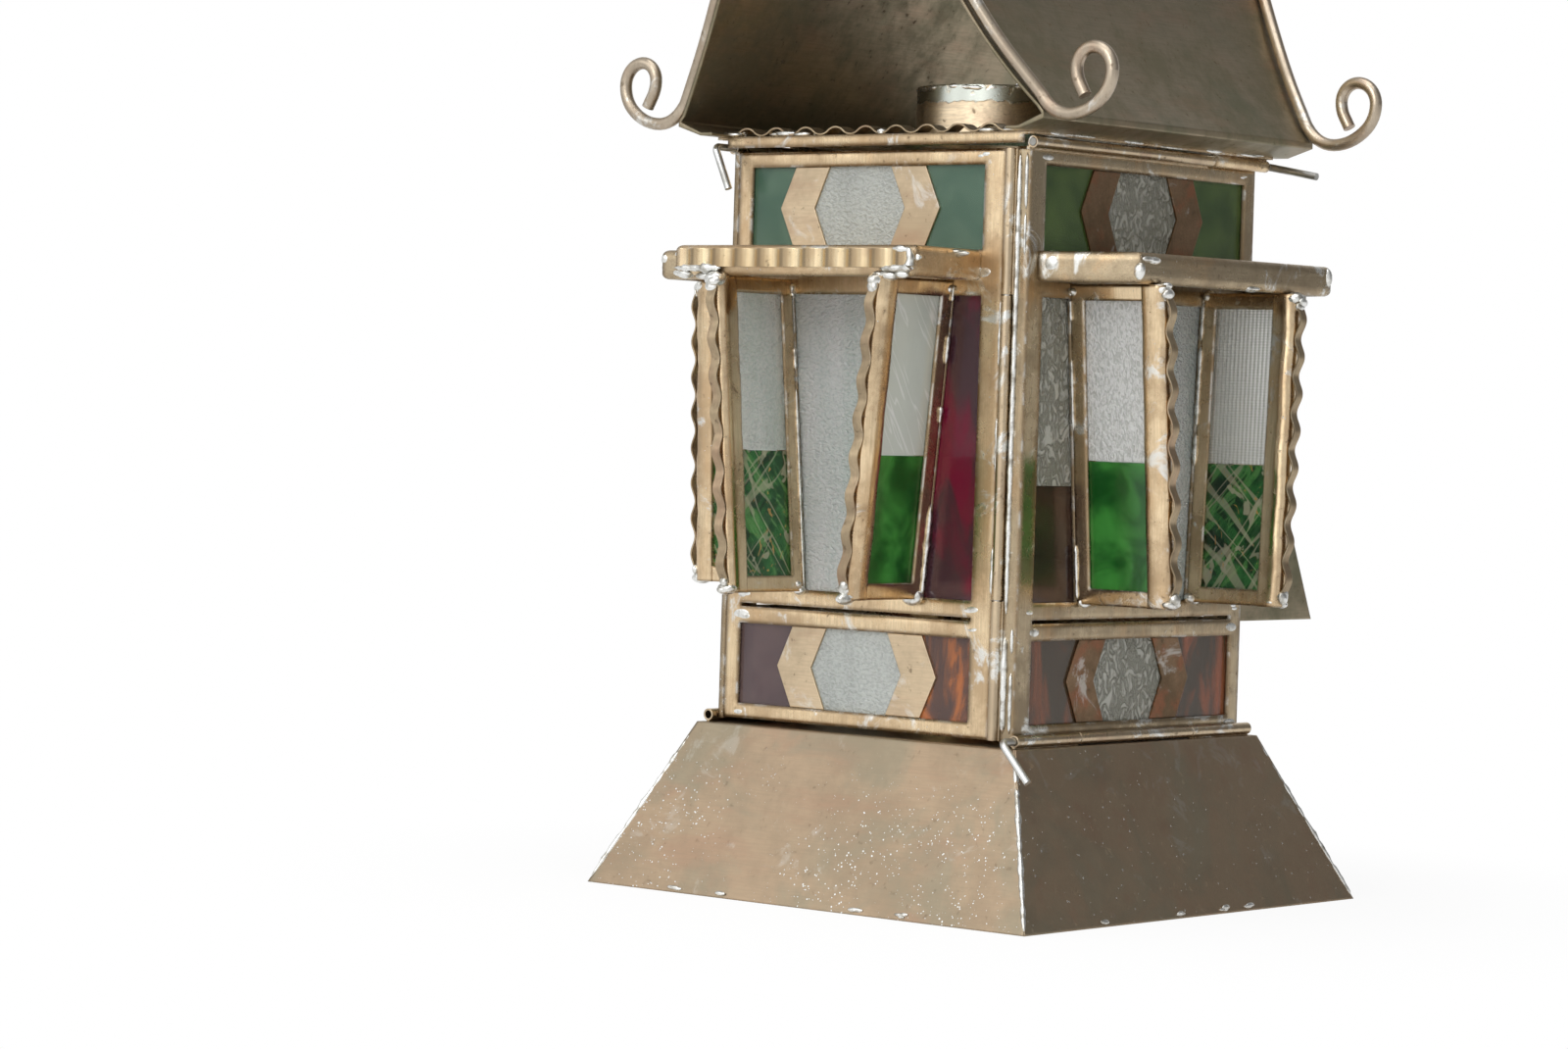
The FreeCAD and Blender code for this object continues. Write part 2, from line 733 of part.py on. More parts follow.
def face_frame(name, left, right, left_stile, right_stile, lines, end_gap=0, lip=None):
    """One face's frame of channel strips: stiles, rails, dividers and the grooves for the glass."""
    body = new_body(name)
    low, high = body_low + end_gap, body_top - end_gap
    board = new_sketch(body, "XZ_Plane", d.body_half)
    inside_left, inside_right = left + left_stile, right - right_stile
    rectangle(board, left, right, low, high)
    rectangle(board, inside_left, inside_right, low_window, low_window_top)
    rectangle(board, inside_left, inside_right, slot_low, slot_top)
    rectangle(board, inside_left, inside_right, frieze_window, frieze_window_top)
    if lines is None:
        rectangle(board, inside_left, inside_right, middle_window, middle_window_top - d.rear_panel_height)
    else:
        for pane in middle_panes(inside_left, inside_right, lines, Size(0)):
            outline(board, pane)
    pad(body, board, d.wall_depth, reverse=True)
    if lip is not None:
        stop = new_sketch(body, "XZ_Plane", d.body_half)
        rectangle(stop, right, lip, low, high)
        pad(body, stop, d.door_lip, reverse=True)
    grooves = new_sketch(body, "XZ_Plane", d.body_half - d.glass_setback + d.glass_play)
    bite = -(d.glass_bite + d.glass_play)
    rectangle(grooves, inside_left + bite, inside_right - bite, low_window + bite, low_window_top - bite)
    rectangle(grooves, inside_left + bite, inside_right - bite,
              frieze_window + bite, frieze_window_top - bite)
    if lines is not None:
        for pane in middle_panes(inside_left, inside_right, lines, bite):
            outline(grooves, pane)
    pocket(body, grooves, d.glass_thickness + d.glass_play * 2)
    return body


def glass_pane(name, spots, arcs=None):
    body = new_body(name)
    outline(new_sketch(body, "XZ_Plane", d.body_half - d.glass_setback), spots, arcs)
    pad(body, body.Group[-1], d.glass_thickness, reverse=True)
    return body


def chevron_seam(middle, side, low, high):
    """The bent joint of two panes, hidden under the middle of a chevron strip."""
    end = (chevron_outer[0] + chevron_inner[0]) / 2
    vertex = (chevron_outer[1] + chevron_inner[1]) / 2
    return [(middle + side * end, low), (middle + side * vertex, (low + high) / 2),
            (middle + side * end, high)]


def short_window_panes(name, left, right, low, high, middle):
    """Left, middle and right pane of a low or frieze window."""
    bite, joint = d.glass_bite, d.glass_joint / 2
    low, high = low - bite, high + bite
    left_seam = chevron_seam(middle, -1, low, high)
    right_seam = chevron_seam(middle, 1, low, high)
    def moved(seam, step):
        return [(x + step, z) for x, z in seam]
    left_edge = [(left - bite, high), (left - bite, low)]
    right_edge = [(right + bite, high), (right + bite, low)]
    return [
        glass_pane(f"{name}_left", moved(left_seam, -joint) + left_edge),
        glass_pane(f"{name}_middle", moved(left_seam, joint) + moved(right_seam, -joint)[::-1]),
        glass_pane(f"{name}_right", moved(right_seam, joint) + right_edge),
    ]


def split_pane(name, spots, height):
    """A four-cornered pane cut level into a low and a high piece."""
    (low_left, low), (low_right, _), (high_right, high), (high_left, _) = spots
    share = (height - low) / (high - low)
    cut_left = low_left + (high_left - low_left) * share
    cut_right = low_right + (high_right - low_right) * share
    joint = d.glass_joint / 2
    return [
        glass_pane(f"{name}_low", [(low_left, low), (low_right, low), (cut_right, height - joint),
                                   (cut_left, height - joint)]),
        glass_pane(f"{name}_high", [(cut_left, height + joint), (cut_right, height + joint),
                                    (high_right, high), (high_left, high)]),
    ]


def window_glass(name, left, right, left_stile, right_stile, lines, turn, middles, split=False):
    """All panes of one face; middles are those of its low and its frieze window."""
    inside_left, inside_right = left + left_stile, right - right_stile
    panes = short_window_panes(f"{name}_low", inside_left, inside_right,
                               low_window, low_window_top, middles[0])
    panes += short_window_panes(f"{name}_frieze", inside_left, inside_right,
                                frieze_window, frieze_window_top, middles[1])
    if lines is not None:
        for index, spots in enumerate(middle_panes(inside_left, inside_right, lines, -d.glass_bite)):
            label = f"{name}_middle_{index}"
            if split and index != 1:
                panes += split_pane(label, spots, middle_window + d.split_pane_height)
            else:
                panes.append(glass_pane(label, spots))
    group(name, panes, turn)


def chevrons(name, middles, turn):
    """Bent strips that cover the joints of the low and the frieze window."""
    strips = []
    for window, middle, low, high in (("low", middles[0], low_window, low_window_top),
                                      ("frieze", middles[1], frieze_window, frieze_window_top)):
        for label, side in (("left", -1), ("right", 1)):
            body = new_body(f"{name}_{window}_{label}")
            centre = (low + high) / 2
            gap = d.glass_play / 2
            low_edge, high_edge = low + gap, high - gap
            outline(new_sketch(body, "XZ_Plane", d.body_half - d.glass_setback), [
                (middle + side * chevron_outer[0], low_edge),
                (middle + side * chevron_outer[1], centre),
                (middle + side * chevron_outer[0], high_edge),
                (middle + side * chevron_inner[0], high_edge),
                (middle + side * chevron_inner[1], centre),
                (middle + side * chevron_inner[0], low_edge)])
            pad(body, body.Group[-1], d.chevron_sheet)
            strips.append(body)
    group(name, strips, turn)


def fin_frame(name, line):
    """One leaning channel frame that stands out from a face, open for its two panes."""
    body = new_body(name)
    reach, half = d.fin_reach, d.fin_width / 2
    low, high = fin_low, ledge_low
    front = new_sketch(body, "XZ_Plane", d.body_half + reach)
    outline(front, [(lean_at(line, low) - half, low), (lean_at(line, low) + half, low),
                    (lean_at(line, high) + half, high), (lean_at(line, high) - half, high)])
    pad(body, front, reach, reverse=True)
    nose = -(d.body_half + reach).value
    span = (high - low).value
    def on_nose(point):
        return abs(point.y - nose) < d.fin_nose.value / 2
    document.recompute()
    base = body.Tip
    names = [f"Edge{number}" for number, edge in enumerate(base.Shape.Edges, 1)
             if edge.Length > span / 2 and all(on_nose(vertex.Point) for vertex in edge.Vertexes)]
    rounding = body.newObject("PartDesign::Fillet", f"{name}_nose")
    rounding.Base = (base, names)
    bind(rounding, Radius=d.fin_nose)
    document.recompute()
    side = new_sketch(body, "YZ_Plane")
    rectangle(side, -(d.body_half + reach - d.fin_post_depth), -(d.body_half + d.fin_post_depth),
              low + d.fin_rail_height, high - d.fin_rail_height)
    pocket(body, side, (d.body_half + reach) * 2, both=True)
    bite = d.glass_bite + d.glass_play
    thin = d.glass_thickness / 2 + d.glass_play
    groove = new_sketch(body, "XZ_Plane", d.body_half + reach - d.fin_post_depth + bite)
    slot_low, slot_high = low + d.fin_rail_height - bite, high - d.fin_rail_height + bite
    outline(groove, [(lean_at(line, slot_low) - thin, slot_low), (lean_at(line, slot_low) + thin, slot_low),
                     (lean_at(line, slot_high) + thin, slot_high),
                     (lean_at(line, slot_high) - thin, slot_high)])
    pocket(body, groove, reach - d.fin_post_depth * 2 + bite * 2)
    return body


def fin_panes(name, line):
    """The green pane at the foot of a fin and the clear pane above it."""
    low = fin_low + d.fin_rail_height
    high = ledge_low - d.fin_rail_height
    seam = low + d.fin_green_height
    joint = d.glass_joint / 2
    half = d.glass_thickness / 2
    outer = d.body_half + d.fin_reach - d.fin_post_depth + d.glass_bite
    depth = d.fin_reach - d.fin_post_depth * 2 + d.glass_bite * 2
    panes = []
    for label, start, stop in (("green", low - d.glass_bite, seam - joint),
                               ("clear", seam + joint, high + d.glass_bite)):
        body = new_body(f"{name}_{label}")
        outline(new_sketch(body, "XZ_Plane", outer), [
            (lean_at(line, start) - half, start), (lean_at(line, start) + half, start),
            (lean_at(line, stop) + half, stop), (lean_at(line, stop) - half, stop)])
        pad(body, body.Group[-1], depth, reverse=True)
        panes.append(body)
    return panes


def ribbon_shape(waves, length, wave_rise):
    """A corrugated strip of a length: round waves along +X that rise in Y, its width along Z.

    Each half wave is one arc. Neighbouring arcs share their tangent, and the sheet's two faces are
    arcs about the same centres, so the strip has one thickness all along.
    """
    chord, rise = length.value / waves / 2, wave_rise.value / 2
    radius = (chord * chord / 4 + rise * rise) / (2 * rise)
    half_angle = math.asin(chord / 2 / radius)
    thick = d.ribbon_sheet.value / 2
    upper, lower = [], []
    for index in range(2 * waves):
        side = 1 if index % 2 == 0 else -1
        centre = Vector((index + 1 / 2) * chord, side * (rise - radius), 0)
        for faces, reach in ((upper, radius + side * thick), (lower, radius - side * thick)):
            spots = [centre + Vector(reach * math.sin(turn), side * reach * math.cos(turn), 0)
                     for turn in (-half_angle, 0, half_angle)]
            faces.append(Part.Arc(*spots).toShape())
    start = [faces[0].Vertexes[0].Point for faces in (upper, lower)]
    stop = [faces[-1].Vertexes[-1].Point for faces in (upper, lower)]
    rim = upper + [Part.makeLine(*stop)] + lower[::-1] + [Part.makeLine(*start)]
    face = Part.Face(Part.Wire(Part.__sortEdges__(rim)))
    return face.extrude(Vector(0, 0, d.ribbon_width.value))


fin_ribbon_length = ledge_low - fin_low - d.fin_ribbon_foot - d.fin_ribbon_head
fin_ribbon = ribbon_shape(FIN_WAVES, fin_ribbon_length, d.frill_rise)


def fin_ribbon_on(name, line):
    """A corrugated ribbon that stands out from a fin's outer edge like a frill, leaning with it."""
    lean = math.atan(((line[1] - line[0]) / (ledge_low - fin_low)).value)
    up = Vector(math.sin(lean), 0, math.cos(lean))
    out = Vector(0, -1, 0)
    start = fin_low + d.fin_ribbon_foot
    spot = Vector(lean_at(line, start).value, -(d.body_half + d.fin_reach).value, start.value)
    return shaped(name, fin_ribbon, Placement(spot, Rotation(up, out.cross(up), out, "XYZ")))


def fins(face, lines, turn):
    """Both fins of a face: frames, panes and ribbons."""
    labels = ("left", "right")
    group(f"{face}_fin_frames", [fin_frame(f"{face}_fin_{label}", line)
                                 for label, line in zip(labels, lines)], turn)
    panes = []
    for label, line in zip(labels, lines):
        panes += fin_panes(f"{face}_fin_pane_{label}", line)
    group(f"{face}_fin_glass", panes, turn)
    group(f"{face}_fin_ribbons", [fin_ribbon_on(f"{face}_fin_ribbon_{label}", line)
                                  for label, line in zip(labels, lines)], turn)


def ledge(name, root_left, near_left, near_right, root_right, turn):
    """A shelf over the fins: a sheet with a deep folded rim on three sides, open underneath."""
    body = new_body(name)
    front, reach = d.body_half, d.fin_reach
    def shelf(sketch, inset):
        outline(sketch, [(root_left + inset, -front), (near_left + inset, -(front + reach - inset)),
                         (near_right - inset, -(front + reach - inset)), (root_right - inset, -front)])
    board = new_sketch(body, "XY_Plane", ledge_low)
    shelf(board, Size(0))
    pad(body, board, d.ledge_height)
    edge = -(front + reach).value
    document.recompute()
    base = body.Tip
    names = [f"Edge{number}" for number, item in enumerate(base.Shape.Edges, 1)
             if abs(item.tangentAt(item.FirstParameter).z) < 1 / 2
             and any(abs(vertex.Point.y - edge) < d.ledge_nose.value / 2 for vertex in item.Vertexes)]
    rounding = body.newObject("PartDesign::Fillet", f"{name}_nose")
    rounding.Base = (base, names)
    bind(rounding, Radius=d.ledge_nose)
    hollow = new_sketch(body, "XY_Plane", ledge_low + d.ledge_sheet)
    shelf(hollow, d.ledge_sheet)
    pocket(body, hollow, d.ledge_height - d.ledge_sheet * 2, reverse=True)
    mouth = new_sketch(body, "XY_Plane", ledge_low)
    shelf(mouth, d.ledge_lip)
    pocket(body, mouth, d.ledge_sheet, reverse=True)
    body.Placement = Placement(Vector(), turn)
    keep(body, name)


def rear_hood():
    """A sloping sheet with two triangular cheeks over the rear opening, open underneath."""
    body = new_body("rear_hood")
    high = middle_window_top - d.rear_panel_height + d.hood_seat
    low = high - d.hood_drop
    half, sheet = d.body_half, d.hood_sheet
    side = new_sketch(body, "YZ_Plane")
    outline(side, [(half, low), (half + d.hood_reach, low), (half, high)])
    pad(body, side, half * 2, both=True)
    slope = d.hood_reach / d.hood_drop
    run = sheet * Size(math.hypot(1, slope.value), f"sqrt(1 + {slope.text} ^ 2)")
    hollow = new_sketch(body, "YZ_Plane")
    outline(hollow, [(half - sheet, low - sheet), (half + d.hood_reach - run + sheet * slope, low - sheet),
                     (half - sheet, high - (run - sheet * slope) / slope)])
    pocket(body, hollow, (half - sheet) * 2, both=True)
    keep(body, "rear_hood")


def housing_faces():
    """The two side faces and the rear face, which is open behind the hood."""
    stile, corner = d.stile_width, d.corner_stile_width
    front_stop = -(inner_half - d.hinge_gap)
    right = face_frame("right_frame", -d.body_half, d.body_half, corner, stile, SIDE_FINS)
    right.Placement = Placement(Vector(), RIGHT)
    keep(right, "right_frame")
    left = face_frame("left_frame", -d.body_half, -front_stop, stile, stile, SIDE_FINS, lip=d.body_half)
    left.Placement = Placement(Vector(), LEFT)
    keep(left, "left_frame")
    rear = face_frame("rear_frame", -inner_half, inner_half, stile, stile, None)
    rear.Placement = Placement(Vector(), REAR)
    keep(rear, "rear_frame")
    middles = (Size(0), Size(0))
    window_glass("right_window_glass", -d.body_half, d.body_half, corner, stile, SIDE_FINS, RIGHT,
                 middles, split=True)
    window_glass("left_window_glass", -d.body_half, -front_stop, stile, stile, SIDE_FINS, LEFT,
                 middles, split=True)
    window_glass("rear_window_glass", -inner_half, inner_half, stile, stile, None, REAR, middles)
    for name, turn in (("right", RIGHT), ("left", LEFT), ("rear", REAR)):
        chevrons(f"{name}_chevrons", middles, turn)
    for face, turn in (("right", RIGHT), ("left", LEFT)):
        fins(face, SIDE_FINS, turn)
        far = d.body_half - d.side_ledge_far_inset
        ledge(f"{face}_ledge", d.side_ledge_root_inset - d.body_half,
              d.side_ledge_near_inset - d.body_half, far, far, turn)
    rear_hood()


def housing_rows():
    """The housing's tubes at its foot and at its top, and the pin that locks the lid's left row."""
    middle, start = middle_tube_half, middle_tube_half + d.hinge_gap
    group("housing_foot_tubes", [
        wall_tube(f"foot_tube_{label}", -middle, middle, side, base_axis_height, base_axis_height, seat_skin)
        for label, side in (("right", 1), ("left", -1))])
    seat_height = body_top - d.seat_width / 2
    group("housing_top_tubes", [
        wall_tube(f"top_tube_{label}", low, high, side, lid_axis_height, seat_height, d.seat_width)
        for label, low, high, side in (("right", -row_half, lid_tube_start - d.hinge_gap, 1),
                                       ("left_front", -latch_row_end, -start, -1),
                                       ("left_rear", start, row_half, -1))])
    latch = bent_pin("lid_latch_pin", latch_row_end - start + d.latch_pin_travel + d.pin_bend_radius
                     + d.pin_radius, d.latch_pin_tail)
    place(latch, -row_reach, -start, lid_axis_height, pin_turn(-1, d.lid_latch_tail_angle.value))
    keep(latch, "lid_latch_pin")


def door():
    """The hinged front face with its tube, pin, fins, ledge and ledge ribbon."""
    stile, corner = d.stile_width, d.corner_stile_width
    frame = face_frame("door_frame", door_left, door_right, stile, corner, DOOR_FINS, d.door_end_gap)
    keep(frame, "door_frame")
    middles = (door_middle, door_middle - d.door_frieze_shift)
    window_glass("door_window_glass", door_left, door_right, stile, corner, DOOR_FINS, FRONT, middles)
    chevrons("door_chevrons", middles, FRONT)
    fins("door", DOOR_FINS, FRONT)
    ledge_left, ledge_right = d.door_ledge_left_inset - d.body_half, d.body_half - d.door_ledge_right_inset
    ledge("door_ledge", ledge_left, ledge_left, ledge_right, ledge_right, FRONT)
    start = ledge_left + d.ledge_ribbon_inset
    half_height = (d.ribbon_rise + d.ribbon_sheet) / 2
    spot = Vector(start.value, -(d.body_half + d.fin_reach + half_height).value,
                  (frieze_window - d.ribbon_edge - d.ribbon_width).value)
    strip = ribbon_shape(LEDGE_WAVES, ledge_right - d.ledge_ribbon_inset - start, d.ribbon_rise)
    keep(shaped("door_ledge_ribbon", strip, Placement(spot, Rotation())), "door_ledge_ribbon")
    low, high = body_low + d.door_end_gap, body_top - d.door_end_gap
    split_low, split_high = middle_window + d.hinge_gap, middle_window_top
    group("door_post_tubes", [upright_tube("post_tube_low", low, split_low, 1),
                              upright_tube("post_tube_high", split_high + d.hinge_gap, high, 1)])
    keep(upright_tube("door_tube", split_low + d.hinge_gap, split_high, -1), "door_tube")
    keep(cylinder("door_hinge_pin", d.pin_radius, high - low, x=door_axis_reach, y=-d.body_half, z=low),
         "door_hinge_pin")


# Lid

def lid_plate():
    """Top plate with a smoke hole, folded lips at front and rear, and the hinge tubes under it."""
    half, sheet = plate_half, d.plate_sheet
    body = new_body("lid_plate")
    rectangle(new_sketch(body, "XY_Plane", plate_low), -half, half, -half, half)
    pad(body, body.Group[-1], sheet)
    lip = row_reach - d.tube_radius - d.lip_end_gap
    for side in (-1, 1):
        edges = (-half, -(half - sheet)) if side < 0 else (half - sheet, half)
        fold = new_sketch(body, "XY_Plane", plate_low - d.lip_depth)
        rectangle(fold, -lip, lip, edges[0], edges[1])
        pad(body, fold, d.lip_depth + sheet)
    hole = new_sketch(body, "XY_Plane", plate_low)
    radius = d.collar_radius - d.collar_sheet
    hole.addGeometry(Part.Circle(Vector(), Vector(0, 0, 1), radius.value))
    hole.addConstraint(Sketcher.Constraint("Coincident", 0, 3, -1, 1))
    wide = hole.addConstraint(Sketcher.Constraint("Radius", 0, radius.value))
    hole.setExpression(f"Constraints[{wide}]", radius.text)
    pocket(body, hole, sheet, reverse=True)
    keep(body, "lid_plate")
    outer = cylinder("collar_wall", d.collar_radius, d.collar_height, z=plate_top)
    bore = cylinder("collar_bore", radius, d.collar_height, z=plate_top)
    keep(cut("smoke_collar", outer, bore), "smoke_collar")
    middle = middle_tube_half
    group("lid_tubes", [
        plate_tube("lid_tube_right", lid_tube_start, row_half, 1),
        plate_tube("lid_tube_left", -middle, middle, -1)])
    pin = bent_pin("lid_hinge_pin", row_half * 2 + d.pin_bend_radius, d.lid_pin_tail)
    place(pin, row_reach, -row_half, lid_axis_height, pin_turn(1, d.lid_pin_tail_angle.value))
    keep(pin, "lid_hinge_pin")
    start = d.plate_ribbon_inset - half
    middle = plate_top + (d.frill_rise + d.ribbon_sheet) / 2
    spot = Vector(start.value, -(half - d.plate_ribbon_edge).value, middle.value)
    flat = Rotation(Vector(1, 0, 0), Vector(0, 0, 1), Vector(0, -1, 0), "XYZ")
    strip = shaped("plate_ribbon", ribbon_shape(PLATE_WAVES, -(start * 2), d.frill_rise),
                   Placement(spot + Vector(0, d.ribbon_width.value, 0), flat))
    keep(strip, "plate_ribbon")


# Roof slope: straight from the ridge to the knee, then an arc that flares out to the eave
slope_angle = arc_tangent(ROOF_SLOPE_SHARE)
lean_angle = arc_tangent(GABLE_LEAN_SHARE)
knee_height = plate_top + d.knee_rise
knee_reach = plate_half - d.knee_inset
ridge_height = knee_height + knee_reach / ROOF_SLOPE_SHARE
gable_knee_half = plate_half + d.gable_knee_overhang


def flare_radius(lean, turn, drop):
    """Radius of an arc that leaves a leaning line and comes down by a height over a turn."""
    return drop / (sine(turn) * cosine(lean) - (1 - cosine(turn)) * sine(lean))


eave_radius = flare_radius(slope_angle, d.eave_angle, d.knee_rise - d.eave_rise)
gable_radius = flare_radius(lean_angle, d.gable_angle, d.knee_rise - d.gable_foot_rise)
scroll_half = plate_half + d.scroll_overhang


def slope_point(turn, offset):
    """Point of the roof's section at a turn below the knee, moved outwards by an offset."""
    sine_k, cosine_k = sine(slope_angle), cosine(slope_angle)
    run, bow = eave_radius * sine(turn), eave_radius * (1 - cosine(turn))
    out_x, out_z = cosine(slope_angle + turn), sine(slope_angle + turn)
    return (knee_reach + run * sine_k + bow * cosine_k + offset * out_x,
            knee_height - run * cosine_k + bow * sine_k + offset * out_z)


def gable_point(turn):
    """Half length and height of the roof's raked edge at a turn below the knee."""
    sine_k, cosine_k = sine(lean_angle), cosine(lean_angle)
    run, bow = gable_radius * sine(turn), gable_radius * (1 - cosine(turn))
    return (gable_knee_half - run * sine_k - bow * cosine_k,
            knee_height - run * cosine_k + bow * sine_k)


gable_top_half = gable_knee_half + (ridge_height - knee_height) * GABLE_LEAN_SHARE


def roof_sheet(name, turn):
    """One bent roof sheet, with a turned-in soffit at the eave that lies on the lid plate."""
    section = new_body(f"{name}_section")
    sheet, wall_x = d.roof_sheet, plate_half
    zero = Size(0)
    eave, eave_in = slope_point(d.eave_angle, zero), slope_point(d.eave_angle, -sheet)
    knee, knee_in = slope_point(zero, zero), slope_point(zero, -sheet)
    inner_drop = (knee_in[0] - d.ridge_gap) / ROOF_SLOPE_SHARE
    outline(new_sketch(section, "XZ_Plane"), [
        (wall_x - d.soffit_bite, plate_top), (wall_x, plate_top), (eave[0], eave[1] - d.fold_drop),
        eave, knee, (d.ridge_gap, ridge_height - d.ridge_gap / ROOF_SLOPE_SHARE),
        (d.ridge_gap, knee_in[1] + inner_drop), knee_in, eave_in, (wall_x, plate_top + sheet),
        (wall_x - d.soffit_bite, plate_top + sheet)],
        {3: (eave_radius, -1), 7: (eave_radius + sheet, 1)})
    pad(section, section.Group[-1], gable_top_half * 2, both=True)
    gable = new_body(f"{name}_gable")
    low_half, low_height = gable_point(d.gable_angle)
    knee_half = gable_knee_half
    outline(new_sketch(gable, "YZ_Plane"), [
        (-low_half, plate_top), (low_half, plate_top), (low_half, low_height), (knee_half, knee_height),
        (gable_top_half, ridge_height), (-gable_top_half, ridge_height), (-knee_half, knee_height),
        (-low_half, low_height)],
        {2: (gable_radius, 1), 6: (gable_radius, 1)})
    pad(gable, gable.Group[-1], base_foot_half * 2, both=True)
    common = document.addObject("Part::MultiCommon", name)
    common.Shapes = [section, gable]
    common.Placement = Placement(Vector(), turn)
    keep(common, name)


def ridge_cap():
    """A folded strip over the joint of the two roof sheets."""
    body = new_body("ridge_cap")
    sine_k, cosine_k = sine(slope_angle), cosine(slope_angle)
    leg_x, leg_z = d.cap_leg * sine_k, d.cap_leg * cosine_k
    out_x, out_z = d.cap_sheet * cosine_k, d.cap_sheet * sine_k
    peak = ridge_height + d.cap_sheet / sine_k
    outline(new_sketch(body, "XZ_Plane"), [
        (0, ridge_height), (leg_x, ridge_height - leg_z), (leg_x + out_x, ridge_height - leg_z + out_z),
        (0, peak), (-(leg_x + out_x), ridge_height - leg_z + out_z), (-leg_x, ridge_height - leg_z)])
    pad(body, body.Group[-1], gable_top_half * 2, both=True)
    keep(body, "ridge_cap")
    return peak


def rounded_path(spots):
    """Straight runs through the points, joined by tangent arcs as large as the runs allow."""
    edges, start = [], spots[0]
    for before, corner, after in zip(spots, spots[1:], spots[2:]):
        back, ahead = before - corner, after - corner
        run = min(back.Length, ahead.Length) * LARGEST_ARC_SHARE
        back.normalize()
        ahead.normalize()
        turn = math.pi - back.getAngle(ahead)
        radius = run / math.tan(turn / 2)
        middle = (back + ahead).normalize() * (radius / math.cos(turn / 2) - radius)
        enter, leave = corner + back * run, corner + ahead * run
        edges.append(Part.makeLine(start, enter))
        edges.append(Part.Arc(enter, corner + middle, leave).toShape())
        start = leave
    edges.append(Part.makeLine(start, spots[-1]))
    return edges


def scroll_path(start, heading):
    """Arcs that turn upwards in the XZ plane from a start and a heading, then a short tail."""
    edges = []
    spot, angle = start, heading
    radii = (d.scroll_foot_radius, d.scroll_sweep_radius, d.scroll_rise_radius, d.scroll_top_radius,
             d.scroll_inner_radius, d.scroll_end_radius)
    for radius, turn in zip(radii, (-math.degrees(heading),) + SCROLL_TURNS):
        reach, sweep = radius.value, math.radians(turn)
        centre = spot + Vector(-math.sin(angle), 0, math.cos(angle)) * reach
        stops = [centre + Vector(math.sin(angle + share), 0, -math.cos(angle + share)) * reach
                 for share in (sweep / 2, sweep)]
        edges.append(Part.Arc(spot, stops[0], stops[1]).toShape())
        spot, angle = stops[1], angle + sweep
    tail = Vector(math.cos(angle), 0, math.sin(angle)) * d.scroll_tail.value
    edges.append(Part.makeLine(spot, spot + tail))
    return edges


def gable_ribs():
    """Four wires down the raked edges that leave the eaves in upturned scrolls."""
    radius = d.rib_radius.value
    lift = d.rib_radius + d.rib_seat_gap
    down = (d.cap_leg + d.rib_top_gap + d.cap_sheet).value
    lean = math.radians(slope_angle.value)
    knee = slope_point(Size(0), lift)
    length = ((knee_reach / sine(slope_angle)).value - down)
    top = Vector(knee[0].value - length * math.sin(lean), 0, knee[1].value + length * math.cos(lean))
    top.y = -(gable_knee_half.value + (top.z - knee_height.value) * GABLE_LEAN_SHARE - radius)
    spots = [top, Vector(knee[0].value, radius - gable_knee_half.value, knee[1].value)]
    x, z = slope_point(d.rib_middle_angle, lift)
    spots.append(Vector(x.value, radius - gable_point(d.rib_middle_angle)[0].value, z.value))
    x, z = slope_point(d.rib_leave_angle, lift)
    leave = Vector(x.value, -scroll_half.value, z.value)
    heading = math.radians((slope_angle + d.rib_leave_angle).value) - math.pi / 2
    lead = leave + Vector(math.cos(heading), 0, math.sin(heading)) * d.scroll_lead.value
    path = Part.Wire(rounded_path(spots + [leave, lead]) + scroll_path(lead, heading))
    ring = Part.Wire(Part.makeCircle(radius, top, spots[1] - top))
    rib = path.makePipeShell([ring], True, False)
    ribs = []
    for side_x in (1, -1):
        for side_y in (1, -1):
            shape = rib.copy()
            if side_x < 0:
                shape = shape.mirror(Vector(), Vector(1, 0, 0))
            if side_y < 0:
                shape = shape.mirror(Vector(), Vector(0, 1, 0))
            ribs.append(shaped(f"gable_rib_{len(ribs)}", shape))
    group("gable_ribs", ribs)


def hanger(peak):
    """An eye saddled on the ridge, and the hanging ring that lies over on the left slope."""
    height = peak + d.eye_rise
    loop = document.addObject("Part::Torus", "eye_loop")
    bind(loop, Radius1=d.eye_radius, Radius2=d.eye_wire)
    place(loop, 0, 0, height, ALONG_Y)
    stem_low = peak - d.eye_stem_radius / ROOF_SLOPE_SHARE
    stem = cylinder("eye_stem", d.eye_stem_radius, height - d.eye_radius - stem_low, z=stem_low)
    saddle = new_body("eye_saddle")
    drop = d.eye_stem_radius * 2
    outline(new_sketch(saddle, "XZ_Plane"), [
        (0, peak), (-drop, peak - drop / ROOF_SLOPE_SHARE), (drop, peak - drop / ROOF_SLOPE_SHARE)])
    pad(saddle, saddle.Group[-1], d.eye_stem_radius * 2 + d.cut_overrun, both=True)
    keep(cut("hanging_eye", fused("eye_solid", [loop, stem]), saddle), "hanging_eye")
    ring = document.addObject("Part::Torus", "hanging_ring")
    bind(ring, Radius1=d.ring_radius, Radius2=d.ring_wire)
    angle = d.ring_rest_angle
    lie = Rotation(Vector(0, 1, 0), 90 + angle.value)
    place(ring, -(d.ring_radius * sine(angle)), 0, height - d.ring_radius * cosine(angle), lie)
    keep(ring, "hanging_ring")
    return height


base_panels()
base_rows()
font()
shaft_reach, shaft_height = burner()
wick_shaft(shaft_reach, shaft_height)
housing_faces()
housing_rows()
door()
lid_plate()
roof_sheet("roof_right", FRONT)
roof_sheet("roof_left", REAR)
ridge_peak = ridge_cap()
gable_ribs()
eye_height = hanger(ridge_peak)
document.recompute()

